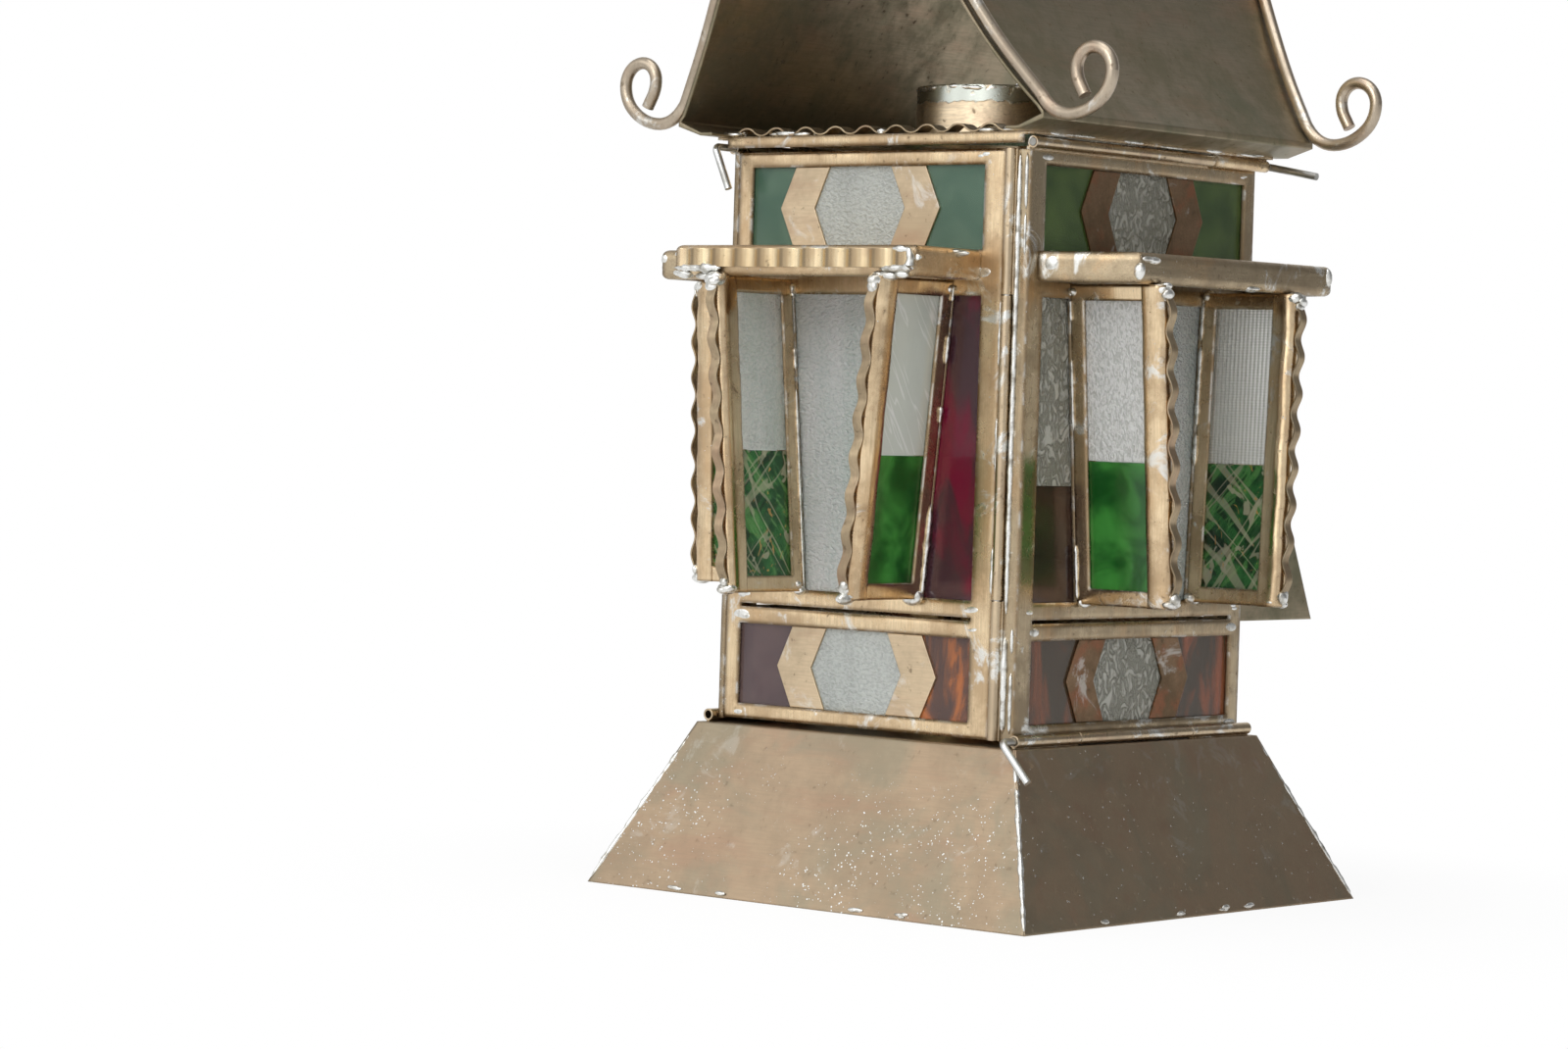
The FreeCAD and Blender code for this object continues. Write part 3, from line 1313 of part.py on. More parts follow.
for item in document.Objects:
    if "Invalid" in item.State or "Error" in item.State:
        raise RuntimeError(f"{item.Name} did not recompute: {item.State}")
for item in nodes:
    if item.Shape.isNull() or not item.Shape.isValid():
        raise RuntimeError(f"{item.Label} has no valid shape")

os.makedirs("parts", exist_ok=True)
for item in nodes:
    item.Shape.exportStep(f"parts/{item.Label}.step")
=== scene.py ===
"""Looks of the oil lantern: brass, solder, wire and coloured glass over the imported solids.

All lengths are metres in the lantern's own frame: X to the right as seen from the door, Y to the
rear, Z up, with the origin in the middle of the base's foot.
"""
from __future__ import annotations

import json
import logging
import math
from collections.abc import Iterable, Sequence
from dataclasses import dataclass, field
from enum import Enum

import bpy
import numpy as np
from mathutils import Matrix, Vector

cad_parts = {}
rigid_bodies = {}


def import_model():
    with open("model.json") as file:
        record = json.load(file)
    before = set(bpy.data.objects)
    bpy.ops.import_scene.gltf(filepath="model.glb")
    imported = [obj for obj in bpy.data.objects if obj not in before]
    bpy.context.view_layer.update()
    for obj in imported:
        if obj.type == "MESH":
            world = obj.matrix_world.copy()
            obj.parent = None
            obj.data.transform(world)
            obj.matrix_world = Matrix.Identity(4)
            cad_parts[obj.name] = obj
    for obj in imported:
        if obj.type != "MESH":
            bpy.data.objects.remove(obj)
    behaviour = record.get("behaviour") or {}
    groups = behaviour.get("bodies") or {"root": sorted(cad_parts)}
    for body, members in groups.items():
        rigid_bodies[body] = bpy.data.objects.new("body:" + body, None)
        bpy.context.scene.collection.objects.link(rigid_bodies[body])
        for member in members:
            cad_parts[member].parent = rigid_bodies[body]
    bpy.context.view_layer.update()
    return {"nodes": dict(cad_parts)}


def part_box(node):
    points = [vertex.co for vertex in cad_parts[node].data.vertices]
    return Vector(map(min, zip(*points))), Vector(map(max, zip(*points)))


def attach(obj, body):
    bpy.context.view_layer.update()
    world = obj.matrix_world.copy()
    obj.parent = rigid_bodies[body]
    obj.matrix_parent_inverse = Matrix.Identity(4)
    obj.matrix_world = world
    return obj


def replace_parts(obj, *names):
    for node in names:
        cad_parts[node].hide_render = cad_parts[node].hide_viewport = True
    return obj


LOG = logging.getLogger("lantern")
MM = 0.001
FULL_TURN = 2.0 * math.pi
FIN_SPAN = (80.6 * MM, 163.2 * MM)
Triple = tuple[float, float, float]
Pair = tuple[float, float]
WHITE: Triple = (1.0, 1.0, 1.0)
Material = bpy.types.Material
Socket = bpy.types.NodeSocket


class Face(Enum):
    """The four faces of the housing, each with its turn from the door's face in degrees."""

    DOOR = 0
    RIGHT = 90
    REAR = 180
    LEFT = 270

    def at(self, along: float, out: float, up: float) -> Vector:
        """Point so far to the right along this face, out from the lantern's axis and up."""
        return Matrix.Rotation(math.radians(self.value), 3, "Z") @ Vector((along, -out, up))


class Grain(Enum):
    """Direction of the fine brushing on a strip or sheet."""

    ALONG_X = 0
    ALONG_Y = 1
    ALONG_Z = 2


class GlassKind(Enum):
    """The sorts of glass in the windows."""

    PEBBLED = "fine pebbles"
    GRAINED = "upright grain like leather"
    SCRATCHED = "smooth with long scratches"
    RIBBED = "fine ribs crossed by finer ones"
    SMOOTH = "slow drift of the tint"
    CLOUDY = "soft clouds"
    LEAFY = "blades and stalks"
    WISPY = "wisps of a second tint"
    CRUMPLED = "creases like crumpled foil"


# Node trees

class Signal:
    """A number that varies over a surface, so that shader maths reads as arithmetic."""

    def __init__(self, recipe: Recipe, socket: Socket) -> None:
        """Wraps a number socket of a recipe."""
        self.recipe, self.socket = recipe, socket

    def maths(self, operation: str, *others: Signal | float) -> Signal:
        """Result of a Math node with this operation, on this number and the others."""
        made = self.recipe.node("Math", {"operation": operation}, dict(enumerate((self, *others))))
        return Signal(self.recipe, made.outputs[0])

    def __add__(self, other: Signal | float) -> Signal:
        """Sum."""
        return self.maths("ADD", other)

    def __sub__(self, other: Signal | float) -> Signal:
        """Difference."""
        return self.maths("SUBTRACT", other)

    def __rsub__(self, other: float) -> Signal:
        """Difference with a plain number first."""
        return self * -1.0 + other

    def __mul__(self, other: Signal | float) -> Signal:
        """Product."""
        return self.maths("MULTIPLY", other)

    def __gt__(self, other: Signal | float) -> Signal:
        """1 where this is larger, else 0."""
        return self.maths("GREATER_THAN", other)

    def __lt__(self, other: Signal | float) -> Signal:
        """1 where this is smaller, else 0."""
        return self.maths("LESS_THAN", other)

    def __abs__(self) -> Signal:
        """Size without the sign."""
        return self.maths("ABSOLUTE")

    __radd__ = __add__
    __rmul__ = __mul__

    def between(self, low: float, high: float) -> Signal:
        """Smooth rise from 0 at low to 1 at high."""
        made = self.recipe.node("MapRange", {"interpolation_type": "SMOOTHSTEP"},
                                {0: self, 1: low, 2: high, 3: 0.0, 4: 1.0})
        return Signal(self.recipe, made.outputs[0])


class Recipe:
    """A node tree and the one way in which nodes are added to it."""

    def __init__(self, tree: bpy.types.NodeTree) -> None:
        """Empties the tree for the nodes to come."""
        self.tree = tree
        self.tree.nodes.clear()

    @classmethod
    def for_material(cls, name: str) -> tuple[Material, Recipe]:
        """Makes a material with an empty node tree.

        Args:
            name: Name of the material.

        Returns:
            The material and its recipe.
        """
        material = bpy.data.materials.new(name)
        material.use_nodes = True
        return material, cls(material.node_tree)

    def node(self, kind: str, settings: dict[str, object] | None = None,
             sockets: dict[str | int, object] | None = None) -> bpy.types.ShaderNode:
        """Adds a node: its settings first, then the values or links of its sockets.

        Args:
            kind: Node type without the leading ShaderNode.
            settings: Properties of the node.
            sockets: Input names or numbers with a value, a Signal or another node's output.

        Returns:
            The node.
        """
        made = self.tree.nodes.new(f"ShaderNode{kind}")
        for name, value in (settings or {}).items():
            setattr(made, name, value)
        for key, value in (sockets or {}).items():
            target = made.inputs[key]
            source = value.socket if isinstance(value, Signal) else value
            if isinstance(source, Socket):
                self.tree.links.new(source, target)
            elif isinstance(source, tuple) and target.type == "RGBA":
                target.default_value = (*source, 1.0)
            else:
                target.default_value = source
        return made

    def place(self, turn: Triple = (0.0, 0.0, 0.0), stretch: Triple = (1.0, 1.0, 1.0)) -> Socket:
        """Object coordinates for a pattern that is turned, and drawn out along its own axes.

        Args:
            turn: Turn of the pattern about X, Y and Z in degrees.
            stretch: How many times longer the pattern is along each turned axis.

        Returns:
            The vector socket.
        """
        source = self.node("TexCoord").outputs["Object"]
        angles = tuple(math.radians(angle) for angle in turn)
        made = self.node("Mapping", {"vector_type": "TEXTURE"},
                         {"Vector": source, "Rotation": angles, "Scale": stretch})
        return made.outputs[0]

    def axes(self, turn: float = 0.0) -> tuple[Signal, Signal, Signal]:
        """The three object coordinates as numbers, after a turn about Z in degrees."""
        made = self.node("SeparateXYZ", {}, {0: self.place((0.0, 0.0, turn))})
        return tuple(Signal(self, made.outputs[index]) for index in range(3))

    def noise(self, scale: float, vector: Socket | None = None, detail: float = 3.0,
              roughness: float = 0.55, distortion: float = 0.0) -> Signal:
        """Soft noise from 0 to 1.

        Args:
            scale: Lumps per metre.
            vector: Where it is read; object coordinates if left out.
            detail: Number of finer layers.
            roughness: Weight of the finer layers.
            distortion: How far the lumps are pulled about.

        Returns:
            The noise value.
        """
        made = self.node("TexNoise", {}, {
            "Vector": vector or self.place(), "Scale": scale, "Detail": detail,
            "Roughness": roughness, "Distortion": distortion})
        return Signal(self, made.outputs["Fac"])

    def upright(self, scale: float, length: float, *layers: float) -> Signal:
        """Noise drawn out upwards; layers are its detail, roughness and distortion."""
        return self.noise(scale, self.place(stretch=(1.0, 1.0, length)), *layers)

    def cells(self, scale: float) -> Signal:
        """Distance to the nearest of scattered points, so many of them per metre."""
        made = self.node("TexVoronoi", {}, {"Vector": self.place(), "Scale": scale})
        return Signal(self, made.outputs["Distance"])

    def blend(self, share: Signal | float, first: object, second: object) -> Socket:
        """Colour between two colours or colour sockets: share 0 gives the first, 1 the second."""
        made = self.node("Mix", {"data_type": "RGBA"}, {0: share, 6: first, 7: second})
        return made.outputs[2]

    def dot(self, first: object, second: object) -> Signal:
        """Dot product of two vectors or vector sockets."""
        made = self.node("VectorMath", {"operation": "DOT_PRODUCT"}, {0: first, 1: second})
        return Signal(self, made.outputs["Value"])

    def soft_normal(self, radius: float) -> Socket:
        """Normal that rounds edges by a radius."""
        return self.node("Bevel", {"samples": 8}, {"Radius": radius}).outputs[0]

    def edge(self, radius: float) -> Signal:
        """How strongly the surface turns within a radius: 0 on a flat, towards 1 on an edge."""
        normal = self.node("NewGeometry").outputs["Normal"]
        return 1.0 - self.dot(self.soft_normal(radius), normal)

    def relief(self, height: Signal, depth: float, strength: float, **normal: Socket) -> Socket:
        """Bump whose height of 1 is worth depth; Normal may name the normal to start from."""
        sockets = {"Height": height, "Distance": depth, "Strength": strength, **normal}
        return self.node("Bump", {}, sockets).outputs[0]

    def finish(self, sockets: dict[str | int, object]) -> None:
        """Ends the tree in one Principled shader with the given sockets."""
        shader = self.node("BsdfPrincipled", {}, sockets)
        self.node("OutputMaterial", {}, {"Surface": shader.outputs[0]})


# Finishes

@dataclass(frozen=True)
class Brass:
    """Handworked brass: mottled patina, fine brushing, dark pits, red flushes and pale solder, with
    painted shade along rounded edges and in bands, and on the ribbon a painted highlight along its
    pale edges.
    """

    name: str
    bright: Triple = (0.60, 0.475, 0.32)
    dull: Triple = (0.37, 0.295, 0.205)
    flush: Triple = (0.40, 0.25, 0.17)
    spot: Triple = (0.16, 0.12, 0.08)
    solder_and_highlight_tone: Triple = (0.80, 0.81, 0.78)
    # Colour of the painted shade laid along rounded edges and in bands.
    painted_shade_tone: Triple = (0.27, 0.19, 0.11)
    stain: Triple = (0.27, 0.27, 0.20)
    grain: Grain = Grain.ALONG_Z
    brush_pitch: float = 1900.0
    brush_length: float = 16.0
    cloud_pitch: float = 38.0
    fleck_pitch: float = 210.0
    flush_pitch: float = 120.0
    flush_length: float = 3.0
    pit_pitch: float = 420.0
    stain_pitch: float = 34.0
    smear_pitch: float = 62.0
    mottle: float = 0.6
    pitted: float = 0.6
    flushed: float = 0.45
    stained: float = 0.0
    painted_edge_shade: float = 0.0
    edge_solder_and_highlight: float = 0.0
    smears: float = 0.0
    specks: float = 0.0
    speck_pitch: float = 2.0 * MM
    speck_size: float = 0.17
    specks_below: float = 1.0
    tinned_from: float | None = None
    bands: Triple | None = None
    roughness: float = 0.3
    silver_roughness: float = 0.24
    rounding: float = 0.9 * MM
    depth: float = 0.06 * MM

    def drawn(self, recipe: Recipe, pitch: float, length: float, *layers: float) -> Signal:
        """Noise drawn out so many times along the grain; layers as for Recipe.upright."""
        stretch = tuple(length if axis is self.grain else 1.0 for axis in Grain)
        return recipe.noise(pitch, recipe.place(stretch=stretch), *layers)

    def build(self) -> Material:
        """Builds the material.

        Returns:
            The brass material.
        """
        material, recipe = Recipe.for_material(self.name)
        brushing = self.drawn(recipe, self.brush_pitch, self.brush_length, 3.0)
        clouds = recipe.noise(self.cloud_pitch, detail=6.0, roughness=0.62)
        flecks = recipe.noise(self.fleck_pitch, detail=4.0, roughness=0.7)
        tarnish = (clouds * 0.7 + flecks * 0.3).between(0.40, 0.62) * self.mottle
        colour = recipe.blend(tarnish, self.bright, self.dull)
        blush = self.drawn(recipe, self.flush_pitch, self.flush_length, 4.0, 0.6)
        colour = recipe.blend(blush.between(0.48, 0.70) * self.flushed, colour, self.flush)
        colour = recipe.blend((brushing - 0.5) * 1.3 + 0.14, colour, self.dull)
        pits = recipe.noise(self.pit_pitch, detail=3.0, roughness=0.6).between(0.63, 0.74)
        colour = recipe.blend(pits * self.pitted, colour, self.spot)
        if self.stained > 0.0:
            stains = recipe.noise(self.stain_pitch, detail=5.0, roughness=0.65, distortion=0.8)
            colour = recipe.blend(stains.between(0.46, 0.68) * self.stained, colour, self.stain)
        # Painted shade: darker colour where the rounded normal turns from the true one, standing in
        # for the shading across rounded strips and posts.
        if self.painted_edge_shade > 0.0:
            painted_shade = recipe.edge(self.rounding).between(0.004, 0.08) * self.painted_edge_shade
            colour = recipe.blend(painted_shade, colour, self.painted_shade_tone)
        # Painted shade: cosine bands of the darker tone across a corrugated ribbon, standing in for
        # the light and shade on its waves.
        if self.bands is not None:
            start, pitch, depth = self.bands
            wave = ((recipe.axes()[0] - start) * (FULL_TURN / pitch)).maths("COSINE")
            colour = recipe.blend(wave.between(-0.5, 0.8) * depth, colour, self.painted_shade_tone)
        height = brushing * 0.25 + flecks * 0.5 - pits * 0.8
        rough = self.roughness + tarnish * 0.22 + pits * 0.2
        for pale_cover, rise in self.pale_cover(recipe):
            colour = recipe.blend(pale_cover, colour, self.solder_and_highlight_tone)
            height = height + pale_cover * rise
            rough = rough + (self.silver_roughness - rough) * pale_cover
        rounded = recipe.soft_normal(self.rounding)
        recipe.finish({"Base Color": colour, "Metallic": 1.0, "Roughness": rough,
                       "Normal": recipe.relief(height, self.depth, 0.6, Normal=rounded)})
        return material

    def pale_cover(self, recipe: Recipe) -> Iterable[tuple[Signal, float]]:
        """Places where solder covers the brass, and on the ribbon a painted highlight along its
        sheet's edges.

        Args:
            recipe: The material's recipe.

        Yields:
            A share from 0 to 1 and how high the solder stands there.
        """
        # Pale colour along edges: solder where the tone is silver; on the ribbon, whose tone is pale
        # gold, a painted highlight on the sheet's edges.
        if self.edge_solder_and_highlight > 0.0:
            worn = recipe.edge(self.rounding).between(0.05, 0.35)
            worn *= recipe.noise(160.0, detail=4.0).between(0.5, 0.62)
            yield worn * self.edge_solder_and_highlight, 0.5
        if self.smears > 0.0:
            film = recipe.noise(self.smear_pitch, detail=5.0, roughness=0.68, distortion=0.7)
            yield film.between(0.57, 0.66) * self.smears, 1.0
        if self.tinned_from is not None:
            edge = recipe.axes()[2] + (recipe.noise(190.0, detail=4.0) - 0.5) * (5.0 * MM)
            cover = edge.between(self.tinned_from - 0.3 * MM, self.tinned_from + 0.3 * MM)
            yield cover * recipe.noise(240.0, detail=4.0).between(0.30, 0.46), 2.0
        if self.specks > 0.0:
            lower = 1.0 - recipe.axes()[2].between(self.specks_below * 0.45, self.specks_below)
            patches = recipe.noise(26.0, detail=2.0).between(0.26, 0.58) * lower * self.specks
            sizes = recipe.noise(620.0, detail=1.0).between(0.38, 0.66)
            drops = recipe.cells(1.0 / self.speck_pitch)
            yield 1.0 - (drops - patches * sizes * self.speck_size).between(0.0, 0.03), 3.0


@dataclass(frozen=True)
class Tinned:
    """Solder: silver-white metal with soft lumps and dull skin."""

    name: str = "solder_metal"
    bright: Triple = (0.80, 0.80, 0.77)
    dull: Triple = (0.40, 0.38, 0.33)
    pitch: float = 380.0
    depth: float = 0.22 * MM

    def build(self) -> Material:
        """Builds the material.

        Returns:
            The solder material.
        """
        material, recipe = Recipe.for_material(self.name)
        skin = recipe.noise(self.pitch, detail=3.0, roughness=0.55)
        colour = recipe.blend(skin.between(0.46, 0.70), self.bright, self.dull)
        recipe.finish({"Base Color": colour, "Metallic": 1.0, "Roughness": 0.14 + skin * 0.3,
                       "Normal": recipe.relief(skin, self.depth, 0.6)})
        return material


@dataclass(frozen=True)
class Wire:
    """Drawn wire with faint lengthwise marks and worn places of a second colour."""

    name: str
    bright: Triple = (0.62, 0.63, 0.62)
    worn: Triple = (0.33, 0.32, 0.29)
    roughness: float = 0.28
    mark_pitch: float = 420.0
    wear_pitch: float = 90.0
    depth: float = 0.05 * MM

    def build(self) -> Material:
        """Builds the material.

        Returns:
            The wire material.
        """
        material, recipe = Recipe.for_material(self.name)
        marks = recipe.noise(self.mark_pitch, detail=4.0, roughness=0.6)
        wear = recipe.noise(self.wear_pitch, detail=3.0).between(0.45, 0.62)
        recipe.finish({"Base Color": recipe.blend(wear * 0.8, self.bright, self.worn),
                       "Metallic": 1.0, "Roughness": self.roughness + wear * 0.2,
                       "Normal": recipe.relief(marks, self.depth, 0.5)})
        return material


@dataclass(frozen=True)
class Cotton:
    """Flat woven wick, charred at its top."""

    name: str
    char_height: float
    char_fade: float = 2.0 * MM
    cloth: Triple = (0.72, 0.66, 0.52)
    shade: Triple = (0.45, 0.40, 0.30)
    char: Triple = (0.03, 0.026, 0.022)
    warp_rate: float = 5200.0
    weft_rate: float = 4200.0
    ragged_pitch: float = 600.0
    depth: float = 0.2 * MM

    def build(self) -> Material:
        """Builds the material.

        Returns:
            The wick material.
        """
        material, recipe = Recipe.for_material(self.name)
        _, across, up = recipe.axes()
        warp = (across * self.warp_rate).maths("SINE")
        weave = warp * (up * self.weft_rate).maths("SINE") * 0.5 + 0.5
        colour = recipe.blend(weave * 0.4, self.cloth, self.shade)
        ragged = up + (recipe.noise(self.ragged_pitch) - 0.5) * self.char_fade
        burnt = ragged.between(self.char_height - self.char_fade, self.char_height)
        recipe.finish({"Base Color": recipe.blend(burnt, colour, self.char), "Roughness": 0.9,
                       "Normal": recipe.relief(weave, self.depth, 0.7)})
        return material


@dataclass(frozen=True)
class Pane:
    """One pane's glass: its kind, its tint, the tint of its streaks, its frost and its relief."""

    kind: GlassKind
    tint: Triple
    streak: Triple
    frost: float = 0.30
    relief: float = 0.5


CLEAR = Pane(GlassKind.PEBBLED, (0.74, 0.83, 0.78), WHITE, 0.18, 3.0)
CLEAR_GREY = Pane(GlassKind.PEBBLED, (0.56, 0.60, 0.57), (0.86, 0.90, 0.86), 0.20, 2.4)
CLEAR_GRAINED = Pane(GlassKind.GRAINED, (0.74, 0.76, 0.72), (1.0, 1.0, 0.99), 0.20, 2.8)
CLEAR_SCRATCHED = Pane(GlassKind.SCRATCHED, (0.78, 0.82, 0.76), WHITE, 0.24, 1.2)
CLEAR_RIBBED = Pane(GlassKind.RIBBED, (0.66, 0.68, 0.62), (1.0, 1.0, 0.98), 0.26, 1.3)
CLEAR_DIM = Pane(GlassKind.CRUMPLED, (0.34, 0.34, 0.27), (0.84, 0.84, 0.75), 0.20, 2.4)
SEA_GREEN = Pane(GlassKind.SMOOTH, (0.085, 0.20, 0.13), (0.15, 0.28, 0.19), 0.22)
MOSS_GREEN = Pane(GlassKind.SMOOTH, (0.06, 0.12, 0.03), (0.14, 0.23, 0.06), 0.22)
LEAF_GREEN = Pane(GlassKind.CLOUDY, (0.008, 0.11, 0.014), (0.07, 0.36, 0.06), 0.20)
GRASS_GREEN = Pane(GlassKind.LEAFY, (0.010, 0.09, 0.020), (0.66, 0.63, 0.45), 0.22)
MAGENTA = Pane(GlassKind.WISPY, (0.11, 0.045, 0.06), (0.30, 0.012, 0.055), 0.16)
UMBER = Pane(GlassKind.SMOOTH, (0.045, 0.024, 0.02), (0.10, 0.045, 0.03), 0.18)
PURPLE = Pane(GlassKind.SMOOTH, (0.13, 0.08, 0.09), (0.22, 0.15, 0.15), 0.20)
AMBER = Pane(GlassKind.WISPY, (0.15, 0.085, 0.07), (0.85, 0.27, 0.07), 0.18)
RED_AMBER = Pane(GlassKind.WISPY, (0.10, 0.07, 0.04), (0.50, 0.14, 0.05), 0.18)
MID_GREEN: Triple = (0.03, 0.22, 0.045)
BLADE_GREEN: Triple = (0.12, 0.42, 0.10)
SHADE_GREEN: Triple = (0.004, 0.035, 0.008)
STALK_ORANGE: Triple = (0.80, 0.42, 0.14)
GLASS_IOR = 1.5
GLASS_CLEARNESS = 0.56
RIPPLE_DEPTH = 0.3 * MM
RIB_RATE = 5000.0
RUNG_RATE = 8600.0


class GlassRecipe:
    """Glass in several panes of one node, told apart by where they stand."""

    def __init__(self, name: str, turn: float = 0.0) -> None:
        """Starts the material; turn is the face's turn about Z in degrees."""
        self.material, self.recipe = Recipe.for_material(name)
        self.turn = turn
        self.along, self.out, self.up = self.recipe.axes(turn)
        self.colour: object = CLEAR.tint
        self.height: Signal | float = 0.0
        self.rough: Signal | float = CLEAR.frost

    def slanted(self, pitch: float, slant: float, length: float, *layers: float) -> Signal:
        """Noise that is drawn out along a slant, in degrees, in the plane of the fins."""
        where = self.recipe.place((slant, 0.0, self.turn), (1.0, 1.0, length))
        return self.recipe.noise(pitch, where, *layers)

    def surface(self, pane: Pane) -> tuple[Socket, Signal]:
        """Colour and height of one kind of glass.

        Args:
            pane: The pane's glass.

        Returns:
            The colour socket and the height from 0 to 1.
        """
        recipe = self.recipe
        if pane.kind is GlassKind.LEAFY:
            return self.leaves(pane)
        if pane.kind is GlassKind.PEBBLED:
            height = recipe.upright(900.0, 0.7, 1.5, 0.5, 0.5)
            bands = recipe.upright(60.0, 6.0, 2.0).between(0.34, 0.56)
            share = height.between(0.38, 0.58) * 0.4 + bands * 0.6
        elif pane.kind is GlassKind.GRAINED:
            height = recipe.upright(1500.0, 1.9, 1.5, 0.5, 0.7)
            share = height.between(0.38, 0.58)
        elif pane.kind is GlassKind.RIBBED:
            ribs = (self.out * RIB_RATE).maths("SINE")
            rungs = (self.up * RUNG_RATE).maths("SINE")
            height = ribs * 0.35 + rungs * 0.15 + 0.5
            share = height.between(0.15, 0.75)
        elif pane.kind is GlassKind.CLOUDY:
            height = recipe.noise(85.0, detail=4.0, roughness=0.55, distortion=0.8)
            share = height.between(0.36, 0.68)
        elif pane.kind is GlassKind.WISPY:
            height = recipe.upright(90.0, 3.0, 4.0, 0.6, 1.0)
            share = height.between(0.46, 0.66)
        else:
            height = drift = recipe.noise(70.0, detail=4.0, distortion=0.6)
            share = drift.between(0.3, 0.7)
            if pane.kind is GlassKind.CRUMPLED:
                height = abs(recipe.upright(330.0, 1.4, 3.0, 0.5, 1.2) - 0.5).between(0.0, 0.14)
                share = height * 0.75 + drift * 0.25
            elif pane.kind is GlassKind.SCRATCHED:
                scratches = self.slanted(240.0, 35.0, 14.0, 2.0)
                share = 1.0 - abs(scratches - 0.5).between(0.0, 0.02)
        return recipe.blend(share, pane.tint, pane.streak), height

    def leaves(self, pane: Pane) -> tuple[Socket, Signal]:
        """Blades, pale stalks and a few orange shreds in deep green.

        Each sort is a noise that is drawn out along its own slant and cut near its middle value,
        which leaves long thin shapes.

        Args:
            pane: The pane's glass; its streak is the stalks' colour.

        Returns:
            The colour socket and the height from 0 to 1.
        """
        blend = self.recipe.blend
        clouds = self.recipe.noise(150.0, detail=3.0).between(0.42, 0.58)
        colour = blend(clouds, pane.tint, MID_GREEN)
        shade = self.slanted(260.0, -50.0, 5.0, 2.0, 0.5, 0.8).between(0.54, 0.58)
        colour = blend(shade, colour, SHADE_GREEN)
        leafy = self.slanted(300.0, 38.0, 4.0, 2.0, 0.5, 1.2)
        colour = blend(leafy.between(0.54, 0.58) * 0.8, colour, BLADE_GREEN)
        for slant, width in ((38.0, 0.020), (-44.0, 0.026)):
            crest = abs(self.slanted(130.0, slant, 7.0, 2.0, 0.5, 0.3) - 0.52)
            colour = blend((1.0 - crest.between(width * 0.6, width)) * 0.6, colour, pane.streak)
        patches = self.slanted(150.0, 15.0, 1.6, 2.0, 0.5, 1.5).between(0.62, 0.65)
        colour = blend(patches * 0.8, colour, pane.streak)
        shreds = self.slanted(330.0, -20.0, 1.8, 2.0, 0.5, 2.0).between(0.67, 0.70)
        return blend(shreds * 0.9, colour, STALK_ORANGE), leafy

    def lay(self, pane: Pane, where: Signal | None = None) -> None:
        """Lays one pane's glass over what is there.

        Args:
            pane: The pane's glass.
            where: 1 where the pane stands; everywhere if left out.
        """
        colour, height = self.surface(pane)
        height = height * pane.relief
        if where is None:
            self.colour, self.height, self.rough = colour, height, pane.frost
            return
        self.colour = self.recipe.blend(where, self.colour, colour)
        self.height = self.height + (height - self.height) * where
        self.rough = self.rough + (pane.frost - self.rough) * where

    def build(self) -> Material:
        """Ends the material.

        Returns:
            The glass material.
        """
        normal = self.recipe.relief(self.height, RIPPLE_DEPTH, 0.9)
        self.recipe.finish({"Base Color": self.colour, "Roughness": self.rough, "IOR": GLASS_IOR,
                            "Transmission Weight": GLASS_CLEARNESS, "Normal": normal})
        return self.material


# Meshes

def grid_faces(rows: int, columns: int) -> np.ndarray:
    """Four-cornered faces of a grid whose columns close round, as vertex numbers.

    Args:
        rows: Number of rings.
        columns: Points in each ring.

    Returns:
        Array of shape ((rows - 1) * columns, 4).
    """
    row, column = np.meshgrid(np.arange(rows - 1), np.arange(columns), indexing="ij")
    after = (column + 1) % columns
    corners = (row * columns + column, row * columns + after,
               (row + 1) * columns + after, (row + 1) * columns + column)
    return np.stack(corners, axis=-1).reshape(-1, 4)


def z_turn(degrees: float) -> np.ndarray:
    """Matrix of a turn about Z."""
    return np.array(Matrix.Rotation(math.radians(degrees), 3, "Z"))


def add_object(name: str, data: bpy.types.ID) -> bpy.types.Object:
    """Puts a mesh, lamp or camera into the scene.

    Args:
        name: Name of the object.
        data: What it shows.

    Returns:
        The object.
    """
    made = bpy.data.objects.new(name, data)
    bpy.context.scene.collection.objects.link(made)
    return made


@dataclass
class Gathered:
    """Closed forms gathered into one piece."""

    name: str
    points: list[np.ndarray] = field(default_factory=list)
    faces: list[list[int]] = field(default_factory=list)
    count: int = 0
    sharp: float = 45.0

    def add(self, points: np.ndarray) -> None:
        """Adds one closed form: a row of rings with a flat cap at either end.

        Args:
            points: Array of shape (rings, points in a ring, 3) in metres.
        """
        rows, columns = points.shape[:2]
        ring = np.arange(columns) + self.count
        self.points.append(points.reshape(-1, 3))
        self.faces += (grid_faces(rows, columns) + self.count).tolist()
        self.faces += [ring[::-1].tolist(), (ring + (rows - 1) * columns).tolist()]
        self.count += rows * columns

    def build(self, body: str, material: Material, slot: str) -> bpy.types.Object:
        """Makes the piece from all forms.

        Args:
            body: CAD body that carries it.
            material: Its material.
            slot: The record's material slot; not used.

        Returns:
            The piece.
        """
        mesh = bpy.data.meshes.new(self.name)
        mesh.from_pydata(np.concatenate(self.points).tolist(), [], self.faces)
        mesh.polygons.foreach_set("use_smooth", np.ones(len(mesh.polygons), bool))
        mesh.set_sharp_from_angle(angle=math.radians(self.sharp))
        mesh.materials.append(material)
        mesh.update()
        piece = add_object(self.name, mesh)
        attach(piece, body)
        return piece


